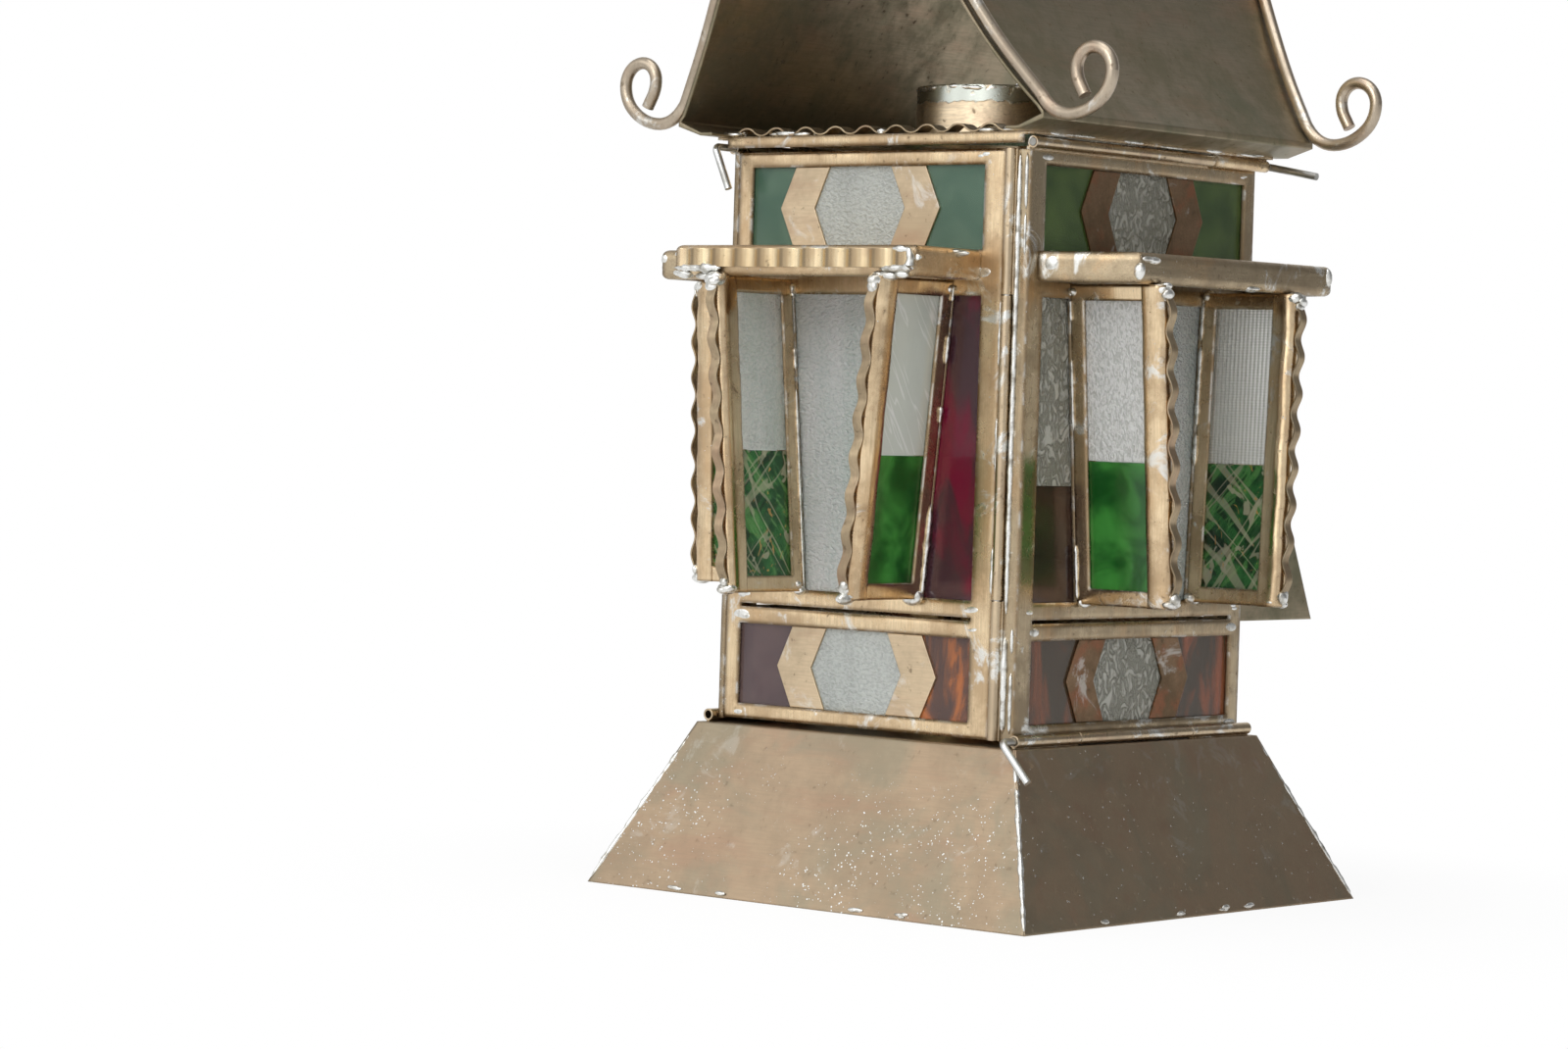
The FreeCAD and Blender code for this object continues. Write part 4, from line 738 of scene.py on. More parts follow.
@dataclass
class Edging(Gathered):
    """Strips that lean with the fins of one face: rounded posts or corrugated ribbons.

    A strip is given by foot and top, its places along the face, and by span, its lowest and
    highest point.
    """

    face: Face = Face.DOOR
    post_half: float = 2.65 * MM
    ribbon_half: float = 1.4 * MM
    waves: int = 8
    rise: float = 1.5 * MM
    sheet: float = 0.42 * MM
    post_rows: int = 40
    wave_rows: int = 18

    def lay(self, foot: float, top: float, up: np.ndarray, across: np.ndarray,
            out: np.ndarray) -> None:
        """Adds a strip from its rings, which follow a line that leans from foot to top.

        Args:
            foot: Place along the face of the line at the first ring.
            top: Place along the face of the line at the last ring.
            up: Heights, one row for each ring.
            across: Distances from the line along the face.
            out: Distances from the lantern's axis.
        """
        share = np.linspace(0.0, 1.0, len(up))[:, None]
        along = foot + (top - foot) * share + across
        turn = math.radians(self.face.value)
        rings = (along * math.cos(turn) + out * math.sin(turn),
                 along * math.sin(turn) - out * math.cos(turn), up + 0.0 * along)
        self.add(np.stack(rings, axis=-1))

    def post(self, foot: float, top: float, span: Pair, reach: Pair) -> None:
        """Adds a leaning channel with a bulging section and shallow dents.

        From its back the section widens as 0.82 + 0.18 sin(90 degrees of s) of its half width, over
        the inner half of its depth; its outer half is half an ellipse. The dents are two sines of
        the height.

        Args:
            foot: Place along the face of its foot.
            top: Place along the face of its top.
            span: Heights of its foot and top.
            reach: Distances of its back and nose from the lantern's axis.
        """
        back, nose = reach
        depth = (nose - back) / 2.0
        turn = np.linspace(0.0, math.pi / 2.0, 9)[1:]
        across = self.post_half * np.concatenate((np.sin(turn), 0.82 + 0.18 * np.cos(turn)))
        out = back + depth * np.concatenate((1.0 + np.cos(turn), 1.0 - np.sin(turn)))
        across = np.concatenate(((0.0,), across, -across[::-1]))
        out = np.concatenate(((nose,), out, out[::-1]))
        up = np.linspace(*span, self.post_rows)[:, None]
        dents = 0.12 * np.sin(up * 310.0 + foot * 900.0) + 0.06 * np.sin(up * 1100.0 + 2.0)
        dents *= MM
        self.lay(foot, top, up, across + dents * 0.8, out + dents * (out > back + depth))

    def ribbon(self, foot: float, top: float, span: Pair, nose: float) -> None:
        """Adds a leaning ribbon whose inner crests touch the nose.

        At share s of its height its back stands out by rise (1 - cos(2 pi waves s)) / 2.

        Args:
            foot: Place along the face of its lower end.
            top: Place along the face of its upper end.
            span: Heights of its ends.
            nose: Distance of the nose from the lantern's axis.
        """
        turn = np.linspace(0.0, FULL_TURN * self.waves, self.wave_rows * self.waves + 1)[:, None]
        slope = self.rise / 2.0 * np.sin(turn) * FULL_TURN * self.waves / (span[1] - span[0])
        length = np.sqrt(1.0 + slope * slope)
        middle = nose + (self.sheet + self.rise * (1.0 - np.cos(turn))) / 2.0
        thick = np.array((0.5, -0.5, -0.5, 0.5)) * self.sheet
        across = np.array((1.0, 1.0, -1.0, -1.0)) * self.ribbon_half
        up = np.linspace(*span, len(turn))[:, None]
        self.lay(foot, top, up - thick * slope / length, across + 0.0 * turn,
                 middle + thick / length)


@dataclass
class Lumps(Gathered):
    """Lumps, smears and beads of solder; spots are in metres, turns about Z in degrees."""

    sharp: float = 80.0
    seed: int = 0
    drop_rows: int = 11
    drop_columns: int = 16
    drop_pole: float = 0.05
    drop_dents: float = 0.06
    bead_columns: int = 8
    bead_waves: Triple = (420.0, 950.0, 1700.0)
    seam_step: float = 1.2 * MM

    def __post_init__(self) -> None:
        """Starts the seeded random numbers."""
        self.random = np.random.default_rng(self.seed)

    def drop(self, spot: Sequence[float], radii: Sequence[float], turn: float = 0.0) -> None:
        """Adds a lump: an ellipsoid whose points are moved in or out by five plane waves.

        The point at polar angle p and turn t is centre + q (1 + the sum of a sin(k . q + f)) with
        q = radii * (sin p cos t, sin p sin t, cos p), then turned about Z.

        Args:
            spot: Centre.
            radii: Half sizes along X, Y and Z before the turn.
            turn: Turn of the lump.
        """
        polar = np.linspace(math.pi - self.drop_pole, self.drop_pole, self.drop_rows)[:, None]
        around = np.linspace(0.0, FULL_TURN, self.drop_columns, endpoint=False)[None, :]
        ball = np.stack((np.sin(polar) * np.cos(around), np.sin(polar) * np.sin(around),
                         np.cos(polar) * np.ones_like(around)), axis=-1)
        pitch = self.random.normal(0.0, 1.2, (5, 3)) / np.asarray(radii)
        phase = self.random.uniform(0.0, FULL_TURN, 5)
        local = ball * np.asarray(radii)
        swell = 1.0 + self.drop_dents * np.sin(local @ pitch.T + phase).sum(axis=-1, keepdims=True)
        self.add((local * swell) @ z_turn(turn).T + np.asarray(spot))

    def patch(self, spot: Sequence[float], radii: Sequence[float], turn: float = 0.0,
              count: int = 3) -> None:
        """Adds drops of uneven sizes that overlap round a spot.

        Args:
            spot: Centre.
            radii: Half sizes of the whole patch along X, Y and Z before the turn.
            turn: Turn of the patch.
            count: Number of drops.
        """
        for _ in range(count):
            size = self.random.uniform(0.45, 0.85)
            shift = self.random.uniform(-1.0, 1.0, 3) * (1.0 - size) * np.asarray(radii)
            stretch = self.random.uniform(0.8, 1.2, 3) * size * (1.0, 1.25, 1.0)
            centre = np.asarray(spot) + z_turn(turn) @ shift
            self.drop(centre, np.asarray(radii) * stretch, turn)

    def bead(self, path: np.ndarray, radius: float, uneven: float = 0.35) -> None:
        """Adds a bead of solder along a path.

        A circle is carried along the path; its radius is radius * sqrt(1 - (2s - 1)^8) * (1 +
        uneven * wave) with s the share of the way and the wave a sum of three seeded sines.

        Args:
            path: Points of the path, one row each.
            radius: Radius of the bead.
            uneven: Share by which the radius wanders.
        """
        way = np.concatenate(([0.0], np.cumsum(np.linalg.norm(np.diff(path, axis=0), axis=1))))
        share = way / way[-1]
        phase = self.random.uniform(0.0, FULL_TURN, 3)
        waves = sum(np.sin(way * pitch + shift) for pitch, shift in zip(self.bead_waves, phase))
        taper = np.sqrt(np.clip(1.0 - (2.0 * share - 1.0) ** 8, 0.0004, 1.0))
        girth = radius * taper * (1.0 + uneven * waves / 2.2)
        axis = np.gradient(path, axis=0)
        axis /= np.linalg.norm(axis, axis=1)[:, None]
        level = np.where(np.abs(axis[:, 2:]) < 0.9, (0.0, 0.0, 1.0), (1.0, 0.0, 0.0))
        side = np.cross(axis, level)
        side /= np.linalg.norm(side, axis=1)[:, None]
        other = np.cross(axis, side)
        around = np.linspace(0.0, FULL_TURN, self.bead_columns, endpoint=False)[None, :, None]
        ring = np.cos(around) * side[:, None, :] + np.sin(around) * other[:, None, :]
        self.add(path[:, None, :] + girth[:, None, None] * ring)

    def seam(self, start: Sequence[float], stop: Sequence[float], radius: float,
             uneven: float = 0.35) -> None:
        """Adds a bead of solder along a straight joint.

        Args:
            start: First end.
            stop: Second end.
            radius: Radius of the bead.
            uneven: Share by which the radius wanders.
        """
        start, way = np.asarray(start, float), np.subtract(stop, start)
        rows = max(8, int(np.linalg.norm(way) / self.seam_step))
        self.bead(start + np.linspace(0.0, 1.0, rows)[:, None] * way, radius, uneven)

    def broken_seam(self, start: Sequence[float], stop: Sequence[float], radius: float, gaps: int,
                    uneven: float = 0.35) -> None:
        """Adds a seam that leaves some of its joint bare.

        Args:
            start: First end.
            stop: Second end.
            radius: Radius of the bead.
            gaps: Number of bare places.
            uneven: Share by which the radius wanders.
        """
        start, way = np.asarray(start, float), np.subtract(stop, start)
        cuts = np.sort(self.random.uniform(0.0, 1.0, 2 * gaps))
        for low, high in np.concatenate(([0.0], cuts, [1.0])).reshape(-1, 2):
            if (high - low) * np.linalg.norm(way) > 3.0 * radius:
                size = radius * self.random.uniform(0.7, 1.2)
                self.seam(start + low * way, start + high * way, size, uneven)


def dress(material: Material, *nodes: str) -> None:
    """Gives CAD nodes a material.

    Args:
        material: The material.
        nodes: Node names.
    """
    for name in nodes:
        slots = FRAME["nodes"][name].data.materials
        slots.clear()
        slots.append(material)


# Sub-assemblies

class Workshop:
    """The finishes that several sub-assemblies share."""

    def __init__(self) -> None:
        """Builds the shared finishes."""
        # The darker colour along the strips' edges here is painted shade of their rounded section.
        channel = {"bright": (0.86, 0.68, 0.44), "dull": (0.44, 0.31, 0.185), "mottle": 0.8,
                   "flush": (0.58, 0.37, 0.19), "painted_edge_shade": 0.85, "edge_solder_and_highlight": 0.8,
                   "smears": 0.8, "specks": 0.5, "speck_pitch": 1.7 * MM, "roughness": 0.22,
                   "rounding": 2.2 * MM}
        self.strip = Brass("brass_channel", **channel).build()
        self.ledge = Brass("brass_ledge", grain=Grain.ALONG_X, **channel).build()
        # The post's darker edges are painted shade of its rounded flanks.
        post = channel | {"painted_edge_shade": 0.75, "rounding": 1.5 * MM, "roughness": 0.16}
        self.post = Brass("brass_post", **post).build()
        # Darker copy of the channel brass for the side and rear frames and ledges: painted shade.
        channel |= {"bright": (0.52, 0.42, 0.28), "dull": (0.26, 0.20, 0.13), "painted_edge_shade": 0.7}
        self.painted_shade = Brass("painted_shade_channel", **channel).build()
        self.painted_shade_ledge = Brass("painted_shade_ledge", grain=Grain.ALONG_Y, **channel).build()
        sheet = {"bright": (0.435, 0.325, 0.22), "dull": (0.335, 0.26, 0.18), "stained": 0.42,
                 "pitted": 0.12, "smears": 0.15, "grain": Grain.ALONG_X, "roughness": 0.36}
        self.sheet = Brass("brass_base_sheet", specks=0.75, **sheet).build()
        self.front_sheet = Brass("brass_front_sheet", specks=1.6, specks_below=46.0 * MM,
                                 speck_pitch=0.95 * MM, **sheet).build()
        self.roof = Brass("brass_roof_sheet", bright=(0.36, 0.295, 0.205),
                          dull=(0.20, 0.18, 0.115), stain=(0.17, 0.18, 0.115),
                          grain=Grain.ALONG_Y, mottle=0.8, flushed=0.3, stained=0.45,
                          roughness=0.4).build()
        # Ribbon brass: its darker colour is painted shade of the corrugated face, and its pale gold
        # edges are a painted highlight on the sheet's edges.
        self.ribbon = Brass("brass_ribbon", bright=(0.47, 0.37, 0.24), dull=(0.24, 0.185, 0.12),
                            solder_and_highlight_tone=(0.86, 0.76, 0.58), mottle=0.8, edge_solder_and_highlight=1.0,
                            rounding=0.25 * MM, roughness=0.36).build()
        chevron = {"grain": Grain.ALONG_X, "mottle": 0.7, "smears": 0.4, "rounding": 0.3 * MM,
                   "roughness": 0.34}
        self.chevron = Brass("brass_chevron", bright=(0.66, 0.52, 0.35), dull=(0.44, 0.35, 0.24),
                             **chevron).build()
        self.copper = Brass("copper_chevron", bright=(0.27, 0.17, 0.10), dull=(0.13, 0.09, 0.05),
                            flush=(0.32, 0.13, 0.07), flushed=0.8, **chevron).build()
        self.tube = Brass("brass_tube", edge_solder_and_highlight=0.6, smears=0.9, rounding=0.3 * MM,
                          roughness=0.24).build()
        self.pin = Wire("pin_wire").build()
        self.solder = Tinned().build()


@dataclass
class Base:
    """The flared base with its floor, hinge tubes and pins."""

    workshop: Workshop
    seam_radius: float = 0.675 * MM
    seam_inset: float = 0.5 * MM
    foot_radii: Triple = (2.6 * MM, 0.45 * MM, 0.8 * MM)
    top_radii: Triple = (3.2 * MM, 0.4 * MM, 0.5 * MM)

    def build(self) -> None:
        """Dresses the base, beads its four corners and spots its edges with solder."""
        shop = self.workshop
        dress(shop.sheet, "base_panel_right", "base_panel_rear", "base_panel_left", "base_floor")
        dress(shop.front_sheet, "base_panel_front")
        dress(shop.tube, "base_hinge_tubes", "base_latch_tubes")
        dress(shop.pin, "base_hinge_pin", "base_latch_pin")
        foot, _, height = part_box("base_panel_front")[1]
        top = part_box("base_floor")[1].x + 0.4 * MM
        low = foot - self.seam_inset
        lumps = Lumps("base_solder", seed=11)
        for side_x, side_y in ((1, -1), (1, 1), (-1, 1), (-1, -1)):
            start = (side_x * low, side_y * low, 0.9 * MM)
            stop = (side_x * top, side_y * top, height - 0.2 * MM)
            lumps.seam(start, stop, self.seam_radius)
        for face in Face:
            for along in lumps.random.uniform(-0.8, 0.8, 4) * foot:
                spot = face.at(along, foot - 0.4 * MM, 1.3 * MM)
                lumps.patch(spot, self.foot_radii, face.value)
            for along in lumps.random.uniform(-0.95, 0.95, 3) * top:
                spot = face.at(along, top + 0.2 * MM, height - 0.6 * MM)
                lumps.patch(spot, self.top_radii, face.value)
        lumps.build("base", shop.solder, "brass_sheet")


@dataclass
class Lamp:
    """The oil font with its burner and wick."""

    char_depth: float = 1.0 * MM

    def build(self) -> None:
        """Dresses the lamp's nodes."""
        polished = Brass("lamp_brass", bright=(0.80, 0.60, 0.30), dull=(0.55, 0.41, 0.22),
                         grain=Grain.ALONG_X, mottle=0.5, roughness=0.2).build()
        dress(polished, "font_ring", "oil_font", "burner", "wick_shaft")
        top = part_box("wick")[1].z
        dress(Cotton("wick_cotton", top - self.char_depth).build(), "wick")


@dataclass
class Glazing:
    """The panes of one face: its low window, its middle window and its frieze.

    Foot and top are the places along the face of the fins between which the middle pane stands.
    """

    face: Face
    node: str
    centre: float
    frieze_centre: float
    foot: Pair
    top: Pair
    low_panes: tuple[Pane, Pane, Pane]
    frieze_panes: tuple[Pane, Pane, Pane]
    middle_panes: tuple[Pane, Pane, Pane]
    lower_panes: tuple[Pane | None, Pane | None, Pane | None] = (None, None, None)
    low_top: float = 73.4 * MM
    low_middle: float = 60.4 * MM
    frieze_low: float = 165.0 * MM
    frieze_middle: float = 182.15 * MM
    split: float = 111.0 * MM
    seam_end: float = 16.2 * MM
    seam_bow: float = 4.9 * MM
    half_height: float = 10.8 * MM

    def short_window(self, glass: GlassRecipe, panes: Sequence[Pane], centre: float, height: float,
                     inside: Signal) -> None:
        """Lays the three panes of a low or frieze window.

        Args:
            glass: The face's glass.
            panes: Left, middle and right pane.
            centre: Middle of the hexagon along the face.
            height: Height of the window's middle.
            inside: 1 within the window.
        """
        rise = abs(glass.up - height) * (self.seam_bow / self.half_height)
        reach = (self.seam_end + self.seam_bow) - rise
        offset = glass.along - centre
        glass.lay(panes[1], inside)
        glass.lay(panes[0], inside * ((offset + reach) < 0.0))
        glass.lay(panes[2], inside * ((offset - reach) > 0.0))

    def build(self) -> None:
        """Builds and assigns the glass of the face."""
        glass = GlassRecipe(f"{self.node}_glass", self.face.value)
        glass.lay(self.middle_panes[1])
        share = (glass.up - FIN_SPAN[0]) * (1.0 / (FIN_SPAN[1] - FIN_SPAN[0]))
        left, right = (share * (top - foot) + foot for foot, top in zip(self.foot, self.top))
        for index, side in ((0, glass.along < left), (2, glass.along > right)):
            glass.lay(self.middle_panes[index], side)
            if self.lower_panes[index] is not None:
                glass.lay(self.lower_panes[index], side * (glass.up < self.split))
        self.short_window(glass, self.low_panes, self.centre, self.low_middle,
                          glass.up < self.low_top)
        self.short_window(glass, self.frieze_panes, self.frieze_centre, self.frieze_middle,
                          glass.up > self.frieze_low)
        dress(glass.build(), self.node)


@dataclass
class Fins:
    """The two fins of a face with their panes, posts, ribbons and solder."""

    workshop: Workshop
    face: Face
    prefix: str
    foot: Pair
    top: Pair
    greens: tuple[Pane, Pane]
    clears: tuple[Pane, Pane]
    low: float = FIN_SPAN[0]
    high: float = FIN_SPAN[1]
    seam: float = 117.8 * MM
    front: float = 79.5 * MM
    back: float = 72.7 * MM
    wall: float = 50.0 * MM
    root_half: float = 2.2 * MM
    ribbon_span: Pair = (FIN_SPAN[0] + 2.4 * MM, FIN_SPAN[1] - 2.0 * MM)

    def build(self, lumps: Lumps, body: str) -> None:
        """Dresses the fins, edges them with posts and ribbons and adds their solder.

        Args:
            lumps: Solder of the body that carries the fins.
            body: That body.
        """
        shop = self.workshop
        dress(shop.post, f"{self.prefix}_fin_frames")
        posts = Edging(f"{self.prefix}_fin_posts", face=self.face)
        ribbons = Edging(f"{self.prefix}_fin_edging", face=self.face)
        for foot, top in zip(self.foot, self.top):
            posts.post(foot, top, (self.low - 0.05 * MM, self.high), (self.back, self.front))
            rate = (top - foot) / (self.high - self.low)
            ends = [foot + rate * (height - self.low) for height in self.ribbon_span]
            ribbons.ribbon(*ends, self.ribbon_span, self.front - 0.15 * MM)
        posts.build(body, shop.post, "brass_channel")
        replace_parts(ribbons.build(body, shop.ribbon, "brass_ribbon"), f"{self.prefix}_fin_ribbons")
        glass = GlassRecipe(f"{self.prefix}_fin_glass", self.face.value)
        middle = (sum(self.foot) + sum(self.top)) / 4.0
        right, below = glass.along > middle, glass.up < self.seam
        glass.lay(self.clears[0])
        glass.lay(self.clears[1], right)
        glass.lay(self.greens[0], below * (1.0 - right))
        glass.lay(self.greens[1], below * right)
        dress(glass.build(), f"{self.prefix}_fin_glass")
        for foot, top in zip(self.foot, self.top):
            self.solder_fin(lumps, foot, top)

    def solder_fin(self, lumps: Lumps, foot: float, top: float) -> None:
        """Solder at one fin's corners and along both sides of its root.

        Args:
            lumps: Where the solder goes.
            foot: Place along the face of the fin's foot.
            top: Place along the face of its top.
        """
        low, high = (foot, self.low), (top, self.high)
        for (along, level), base, out, up, radii in (
                (low, self.front, -1.6, 0.9, (2.5, 2.3, 1.7)),
                (low, self.front, 0.2, 2.9, (2.0, 1.0, 1.7)),
                (high, self.front, -1.6, -1.0, (2.6, 2.4, 1.9)),
                (high, self.front, 0.2, -2.6, (2.1, 1.0, 1.8)),
                (low, self.wall, 1.2, 0.9, (2.7, 1.4, 1.7)),
                (high, self.wall, 1.2, -1.2, (2.6, 1.3, 1.6))):
            size = lumps.random.uniform(1.05, 1.4) * MM
            lumps.patch(self.face.at(along, base + out * MM, level + up * MM),
                        [radius * size for radius in radii], self.face.value, 2)
        for shift in (-self.root_half, self.root_half):
            start = self.face.at(foot + shift, self.wall + 0.2 * MM, self.low + 1.0 * MM)
            stop = self.face.at(top + shift, self.wall + 0.2 * MM, self.high - 1.0 * MM)
            lumps.broken_seam(start, stop, 0.55 * MM, 3)


@dataclass
class Frame:
    """Solder patches of one face's channel frame."""

    face: Face
    left: float
    right: float
    stiles: Pair
    front: float = 50.0 * MM
    rails: tuple[float, ...] = (47.4, 73.4, 78.8, 165.3, 195.3)

    def solder(self, lumps: Lumps) -> None:
        """Thin patches where the rails meet the stiles.

        Args:
            lumps: Solder of the body that carries the frame.
        """
        for height in self.rails:
            for along in (self.left + self.stiles[0], self.right - self.stiles[1]):
                size = lumps.random.uniform(0.5, 1.2)
                shift = lumps.random.uniform(-1.2, 1.2) * MM
                lumps.patch(self.face.at(along + shift, self.front - 0.08 * MM, height * MM),
                            (3.4 * size * MM, 0.2 * MM, 1.3 * size * MM), self.face.value, 2)


@dataclass
class Housing:
    """Right, left and rear faces with their glass, fins, ledges, hood and tubes."""

    workshop: Workshop
    half: float = 50.0 * MM
    rear_half: float = 45.6 * MM
    stile: float = 4.6 * MM
    wide_stile: float = 6.6 * MM
    fin_foot: Pair = (-22.5 * MM, 26.5 * MM)
    fin_top: Pair = (-29.8 * MM, 29.8 * MM)
    post_span: Pair = (47.5 * MM, 196.0 * MM)

    def build(self) -> None:
        """Dresses the housing and adds its solder."""
        shop = self.workshop
        # The side and rear frames and ledges wear the darker copy of the channel brass: painted
        # shade.
        dress(shop.painted_shade, "right_frame", "left_frame", "rear_frame")
        dress(shop.painted_shade_ledge, "right_ledge", "left_ledge")
        dress(shop.roof, "rear_hood")
        dress(shop.chevron, "rear_chevrons")
        dress(shop.copper, "right_chevrons", "left_chevrons")
        dress(shop.tube, "housing_foot_tubes", "housing_top_tubes", "door_post_tubes")
        dress(shop.pin, "lid_latch_pin", "door_hinge_pin")
        lumps = Lumps("housing_solder", seed=23)
        for face, prefix in ((Face.RIGHT, "right"), (Face.LEFT, "left")):
            Fins(shop, face, prefix, self.fin_foot, self.fin_top, (LEAF_GREEN, GRASS_GREEN),
                 (CLEAR_GRAINED, CLEAR_RIBBED)).build(lumps, "housing")
            Glazing(face, f"{prefix}_window_glass", 0.0, 0.0, self.fin_foot, self.fin_top,
                    (RED_AMBER, CLEAR_DIM, RED_AMBER), (MOSS_GREEN, CLEAR_DIM, MOSS_GREEN),
                    (CLEAR_DIM, CLEAR, CLEAR_DIM), (UMBER, None, UMBER)).build()
            self.solder_ledge(lumps, face)
        Glazing(Face.REAR, "rear_window_glass", 0.0, 0.0, self.fin_foot, self.fin_top,
                (PURPLE, CLEAR_GREY, AMBER), (SEA_GREEN, CLEAR_GREY, SEA_GREEN),
                (CLEAR, CLEAR, CLEAR)).build()
        for face, half, stiles in (
                (Face.RIGHT, self.half, (self.wide_stile, self.stile)),
                (Face.LEFT, self.half, (self.stile, self.wide_stile)),
                (Face.REAR, self.rear_half, (self.stile, self.stile))):
            Frame(face, -half, half, stiles).solder(lumps)
        self.solder_post(lumps)
        lumps.build("housing", shop.solder, "brass_channel")

    def solder_post(self, lumps: Lumps) -> None:
        """Beads beside the door's post, on the right face's stile and on the post's own tubes.

        Args:
            lumps: Solder of the housing.
        """
        out = -self.half - 0.1 * MM
        for across, radius, gaps in ((46.7, 0.9, 1), (43.3, 0.5, 2), (48.9, 0.5, 3)):
            start, stop = ((across * MM, out, height) for height in self.post_span)
            lumps.broken_seam(start, stop, radius * MM, gaps, 0.14)

    def solder_ledge(self, lumps: Lumps, face: Face) -> None:
        """Drops at the ends of a side ledge.

        Args:
            lumps: Solder of the housing.
            face: The ledge's face.
        """
        for along, out, up, radii in (
                (-34.0, 76.1, 169.4, (5.5, 1.5, 1.9)), (-37.8, 76.0, 166.6, (1.9, 1.9, 3.2)),
                (46.6, 75.6, 168.0, (2.4, 2.3, 3.4)), (-43.8, 52.2, 168.4, (2.0, 2.6, 3.2)),
                (46.8, 52.0, 168.6, (2.4, 2.2, 2.6)), (12.0, 76.4, 164.0, (4.5, 1.1, 0.9))):
            lumps.patch(face.at(along * MM, out * MM, up * MM), np.array(radii) * MM,
                        face.value, 2)


@dataclass
class Door:
    """The hinged front face."""

    workshop: Workshop
    left: float = -48.2 * MM
    right: float = 41.8 * MM
    centre: float = -3.2 * MM
    frieze_shift: float = 3.6 * MM
    foot_half: float = 20.0 * MM
    top_half: float = 27.4 * MM
    stiles: Pair = (4.6 * MM, 6.6 * MM)
    ledge_waves: int = 10

    def build(self) -> None:
        """Dresses the door and adds its solder."""
        shop = self.workshop
        dress(shop.strip, "door_frame")
        dress(shop.ledge, "door_ledge")
        dress(shop.chevron, "door_chevrons")
        dress(shop.tube, "door_tube")
        low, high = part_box("door_ledge_ribbon")
        wave = (high.x - low.x) / self.ledge_waves
        # The ledge ribbon's bands are painted shade of its corrugations.
        ribbon = Brass("ledge_ribbon", bright=(0.84, 0.70, 0.46), dull=(0.52, 0.38, 0.21),
                       mottle=0.6, edge_solder_and_highlight=0.6, rounding=0.2 * MM, roughness=0.24,
                       bands=(low.x + 0.75 * wave, wave, 0.75))
        dress(ribbon.build(), "door_ledge_ribbon")
        foot = (self.centre - self.foot_half, self.centre + self.foot_half)
        top = (self.centre - self.top_half, self.centre + self.top_half)
        lumps = Lumps("door_solder", seed=37)
        Fins(shop, Face.DOOR, "door", foot, top, (GRASS_GREEN, LEAF_GREEN),
             (CLEAR, CLEAR_SCRATCHED)).build(lumps, "door")
        Glazing(Face.DOOR, "door_window_glass", self.centre, self.centre - self.frieze_shift, foot,
                top, (PURPLE, CLEAR_GREY, AMBER), (SEA_GREEN, CLEAR_GREY, SEA_GREEN),
                (CLEAR, CLEAR, MAGENTA)).build()
        Frame(Face.DOOR, self.left, self.right, self.stiles).solder(lumps)
        self.solder_ledge(lumps)
        low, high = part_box("door_tube")
        beside = (self.right + 0.35 * MM, -50.55 * MM)
        lumps.broken_seam((*beside, low.z + 1.0 * MM), (*beside, high.z - 1.0 * MM), 0.5 * MM, 2)
        lumps.build("door", shop.solder, "brass_channel")

    def solder_ledge(self, lumps: Lumps) -> None:
        """Drops at the ledge's ends, a wrap round the ribbon's right end and a smear at its left.

        Args:
            lumps: Solder of the door.
        """
        for along, out, up in ((-45.4, 76.0, 168.4), (-43.5, 76.2, 164.0), (-37.0, 76.5, 163.4),
                               (-45.4, 60.0, 169.6), (34.2, 76.0, 168.2), (31.0, 76.4, 163.8),
                               (26.0, 76.6, 163.5), (34.4, 60.0, 169.6)):
            size = lumps.random.uniform(0.8, 1.2)
            lumps.patch((along * MM, -out * MM, up * MM),
                        (3.6 * size * MM, 1.6 * size * MM, 1.5 * MM), count=2)
        low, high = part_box("door_ledge_ribbon")
        front, under = low.y + 0.6 * MM, low.z - 0.3 * MM
        corners = ((-5.0, high.z), (0.6, high.z - 0.3 * MM), (1.3, (low.z + high.z) / 2.0),
                   (0.8, low.z), (-9.0, low.z - 0.4 * MM))
        corners = np.array([(high.x + along * MM, front, up) for along, up in corners])
        steps = np.linspace(0, len(corners) - 1, 30)
        wrap = [np.interp(steps, range(len(corners)), column) for column in corners.T]
        lumps.bead(np.stack(wrap, axis=-1), 0.95 * MM)
        lumps.seam((low.x - 1.5 * MM, front, under), (low.x + 15.0 * MM, front, under),
                   1.0 * MM, 0.5)


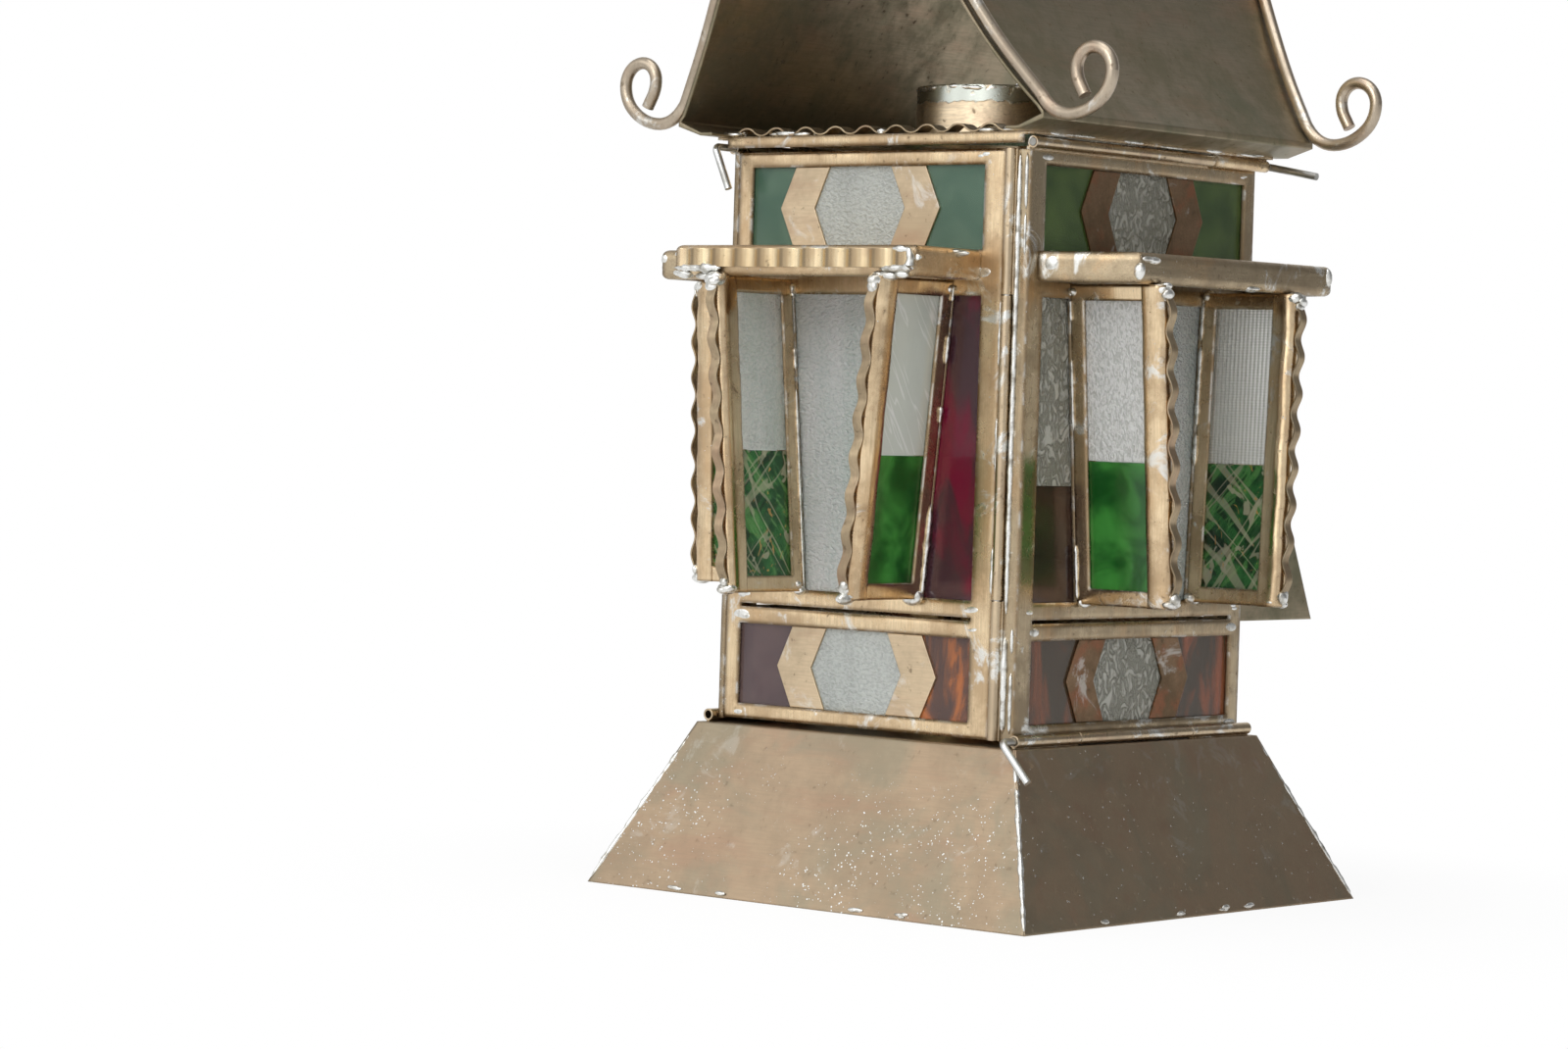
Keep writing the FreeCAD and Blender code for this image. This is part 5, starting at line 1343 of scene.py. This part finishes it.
@dataclass
class Lid:
    """Top plate, smoke collar, gable roof, wire ribs and the hanging eye and ring."""

    workshop: Workshop
    tin_edge: float = 212.2 * MM
    rim_inset: float = 0.45 * MM
    rim_drop: float = 0.7 * MM
    plate_front: float = -51.0 * MM

    def build(self) -> None:
        """Dresses the lid and adds its solder."""
        shop = self.workshop
        dress(shop.roof, "roof_right", "roof_left", "ridge_cap")
        dress(shop.strip, "lid_plate", "lid_tubes")
        dress(shop.ribbon, "plate_ribbon")
        dress(shop.pin, "lid_hinge_pin")
        collar = Brass("brass_collar", bright=(0.90, 0.74, 0.52), grain=Grain.ALONG_X,
                       solder_and_highlight_tone=(0.60, 0.63, 0.57), tinned_from=self.tin_edge)
        dress(collar.build(), "smoke_collar")
        rib = Brass("rib_wire", bright=(0.52, 0.44, 0.34), dull=(0.36, 0.30, 0.23), mottle=0.8,
                    smears=0.5, rounding=0.2 * MM, roughness=0.3)
        dress(rib.build(), "gable_ribs")
        ring = Wire("ring_wire", bright=(0.58, 0.46, 0.30), worn=(0.33, 0.26, 0.17))
        dress(ring.build(), "hanging_eye", "hanging_ring")
        lumps = Lumps("lid_solder", seed=53)
        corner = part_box("smoke_collar")[1]
        turn = np.linspace(0.0, FULL_TURN, 120)
        rim = corner.z - self.rim_drop + 0.25 * MM * np.sin(7.0 * turn)
        reach = corner.x - self.rim_inset
        circle = np.stack((reach * np.cos(turn), reach * np.sin(turn), rim), axis=-1)
        lumps.bead(circle, 0.6 * MM, 0.5)
        side, _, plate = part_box("lid_plate")[1]
        for along, reach in ((-49.0, 4.2), (-31.5, 6.0), (-25.0, 4.0), (2.0, 2.2), (37.0, 3.4),
                             (44.5, 4.6), (49.0, 3.0)):
            lumps.patch((along * MM, self.plate_front, plate + 0.6 * MM),
                        (reach * MM, 2.2 * MM, 1.1 * MM), count=5)
        for along, reach in ((-46.0, 6.0), (-31.0, 8.0), (-12.0, 5.0), (6.0, 9.0), (27.0, 7.0),
                             (44.0, 6.0)):
            lumps.patch((side - 0.5 * MM, along * MM, plate - 0.2 * MM),
                        (0.9 * MM, reach * MM, 0.95 * MM), count=3)
        lumps.build("lid", shop.solder, "brass_sheet")


@dataclass
class Studio:
    """Pale floor, soft light and the camera at the photograph's viewing angle."""

    azimuth: float = 40.46
    elevation: float = 1.46
    roll: float = 1.77
    lens: float = 101.8
    position: Triple = (0.73744, -0.94842, 0.12815)
    aim: Triple = (0.0, 0.0, 0.15)
    bright_side: Triple = (-0.20, -0.95, 0.25)
    backdrop_side: Triple = (-0.61, 0.79, 0.0)
    floor_half: float = 6.0
    paper: Triple = (0.9, 0.9, 0.9)
    shade_share: float = 0.12
    shade_reach: Pair = (0.008, 0.05)
    sensor: float = 36.0
    clip: Pair = (0.05, 50.0)
    lamps: tuple[tuple[str, Triple, float, float], ...] = (
        ("key_lamp", (0.25, -1.7, 1.2), 0.9, 9.0), ("top_lamp", (0.15, -0.3, 1.5), 1.0, 6.0))

    def build(self) -> None:
        """Builds the world, the floor, the lamps and the camera."""
        self.build_world()
        self.build_floor()
        for lamp in self.lamps:
            self.add_lamp(*lamp)
        self.build_camera()
        bpy.context.scene.view_settings.view_transform = "Standard"

    @staticmethod
    def rays(recipe: Recipe, *kinds: str) -> list[Signal]:
        """Light Path's outputs of these kinds, each 1 for its own rays."""
        path = recipe.node("LightPath")
        return [Signal(recipe, path.outputs[f"Is {kind} Ray"]) for kind in kinds]

    def build_world(self) -> None:
        """White to the eye, through glass and in mirrors; light that is softer on the right."""
        world = bpy.data.worlds.new("studio_world")
        world.use_nodes = True
        bpy.context.scene.world = world
        recipe = Recipe(world.node_tree)
        direction = recipe.node("TexCoord").outputs["Generated"]
        seen, through, mirrored = self.rays(recipe, "Camera", "Transmission", "Glossy")
        facing = recipe.dot(direction, self.bright_side)
        level = facing.between(-0.75, 0.8) * 0.82 + 0.25
        room = recipe.noise(2.6, direction, 1.0).between(0.38, 0.60) * 0.5 + 0.75
        window = facing.between(-0.6, 0.6) * 0.45 + facing.between(0.66, 1.0) + 0.22
        level = level + (window * room - level) * mirrored
        backdrop = recipe.dot(direction, self.backdrop_side).between(0.5, 0.95) * mirrored
        white = seen.maths("MAXIMUM", through).maths("MAXIMUM", backdrop)
        strength = level + (1.0 - level) * white
        shader = recipe.node("Background", {}, {"Color": WHITE, "Strength": strength})
        recipe.node("OutputWorld", {}, {"Surface": shader.outputs[0]})

    def build_floor(self) -> None:
        """A large pale sheet under the lantern that keeps a faint shadow."""
        mesh = bpy.data.meshes.new("floor")
        corners = [(side_x * self.floor_half, side_y * self.floor_half, 0.0)
                   for side_x, side_y in ((-1, -1), (1, -1), (1, 1), (-1, 1))]
        mesh.from_pydata(corners, [], [(0, 1, 2, 3)])
        floor = add_object("floor", mesh)
        material, recipe = Recipe.for_material("floor_paper")
        seen, through = self.rays(recipe, "Camera", "Transmission")
        matt = recipe.node("BsdfDiffuse", {}, {"Color": self.paper})
        glow = recipe.node("Emission", {}, {"Color": WHITE, "Strength": 1.0})
        across, along, _ = recipe.axes()
        near = 1.0 - (across * across + along * along).between(*self.shade_reach)
        white = seen.maths("MAXIMUM", through) * (1.0 - near * self.shade_share)
        mixed = recipe.node("MixShader", {}, {0: white, 1: matt.outputs[0], 2: glow.outputs[0]})
        recipe.node("OutputMaterial", {}, {"Surface": mixed.outputs[0]})
        mesh.materials.append(material)

    def add_lamp(self, name: str, spot: Triple, size: float, power: float) -> None:
        """Adds a square soft lamp that faces the lantern.

        Args:
            name: Name of the lamp.
            spot: Its place in metres.
            size: Its side in metres.
            power: Its power in watts.
        """
        light = bpy.data.lights.new(name, "AREA")
        light.shape, light.size, light.energy = "SQUARE", size, power
        way = Vector(self.aim) - Vector(spot)
        turn = way.to_track_quat("-Z", "Y").to_matrix().to_4x4()
        add_object(name, light).matrix_world = Matrix.Translation(spot) @ turn

    def build_camera(self) -> None:
        """Places the camera as the photograph's was."""
        turn, tilt, roll = map(math.radians, (self.azimuth, self.elevation, self.roll))
        level = math.cos(tilt)
        right = Vector((math.cos(turn), math.sin(turn), 0.0))
        back = Vector((math.sin(turn) * level, -math.cos(turn) * level, math.sin(tilt)))
        above = back.cross(right)
        image_right = right * math.cos(roll) + above * math.sin(roll)
        image_up = back.cross(image_right)
        data = bpy.data.cameras.new("camera")
        data.lens, data.sensor_width = self.lens, self.sensor
        data.clip_start, data.clip_end = self.clip
        camera = add_object("camera", data)
        axes = Matrix((image_right, image_up, back)).transposed().to_4x4()
        camera.matrix_world = Matrix.Translation(self.position) @ axes
        bpy.context.scene.camera = camera


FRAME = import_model()


def main() -> None:
    """Builds each sub-assembly in order and reports its pieces."""
    logging.basicConfig(level=logging.INFO, format="%(name)s: %(message)s")
    shop = Workshop()
    for part in (Base(shop), Lamp(), Housing(shop), Door(shop), Lid(shop), Studio()):
        there = set(bpy.data.objects.keys())
        part.build()
        made = sorted(set(bpy.data.objects.keys()) - there)
        LOG.info("%s built: %s", type(part).__name__, ", ".join(made) or "CAD nodes only")


if __name__ == "__main__":
    main()
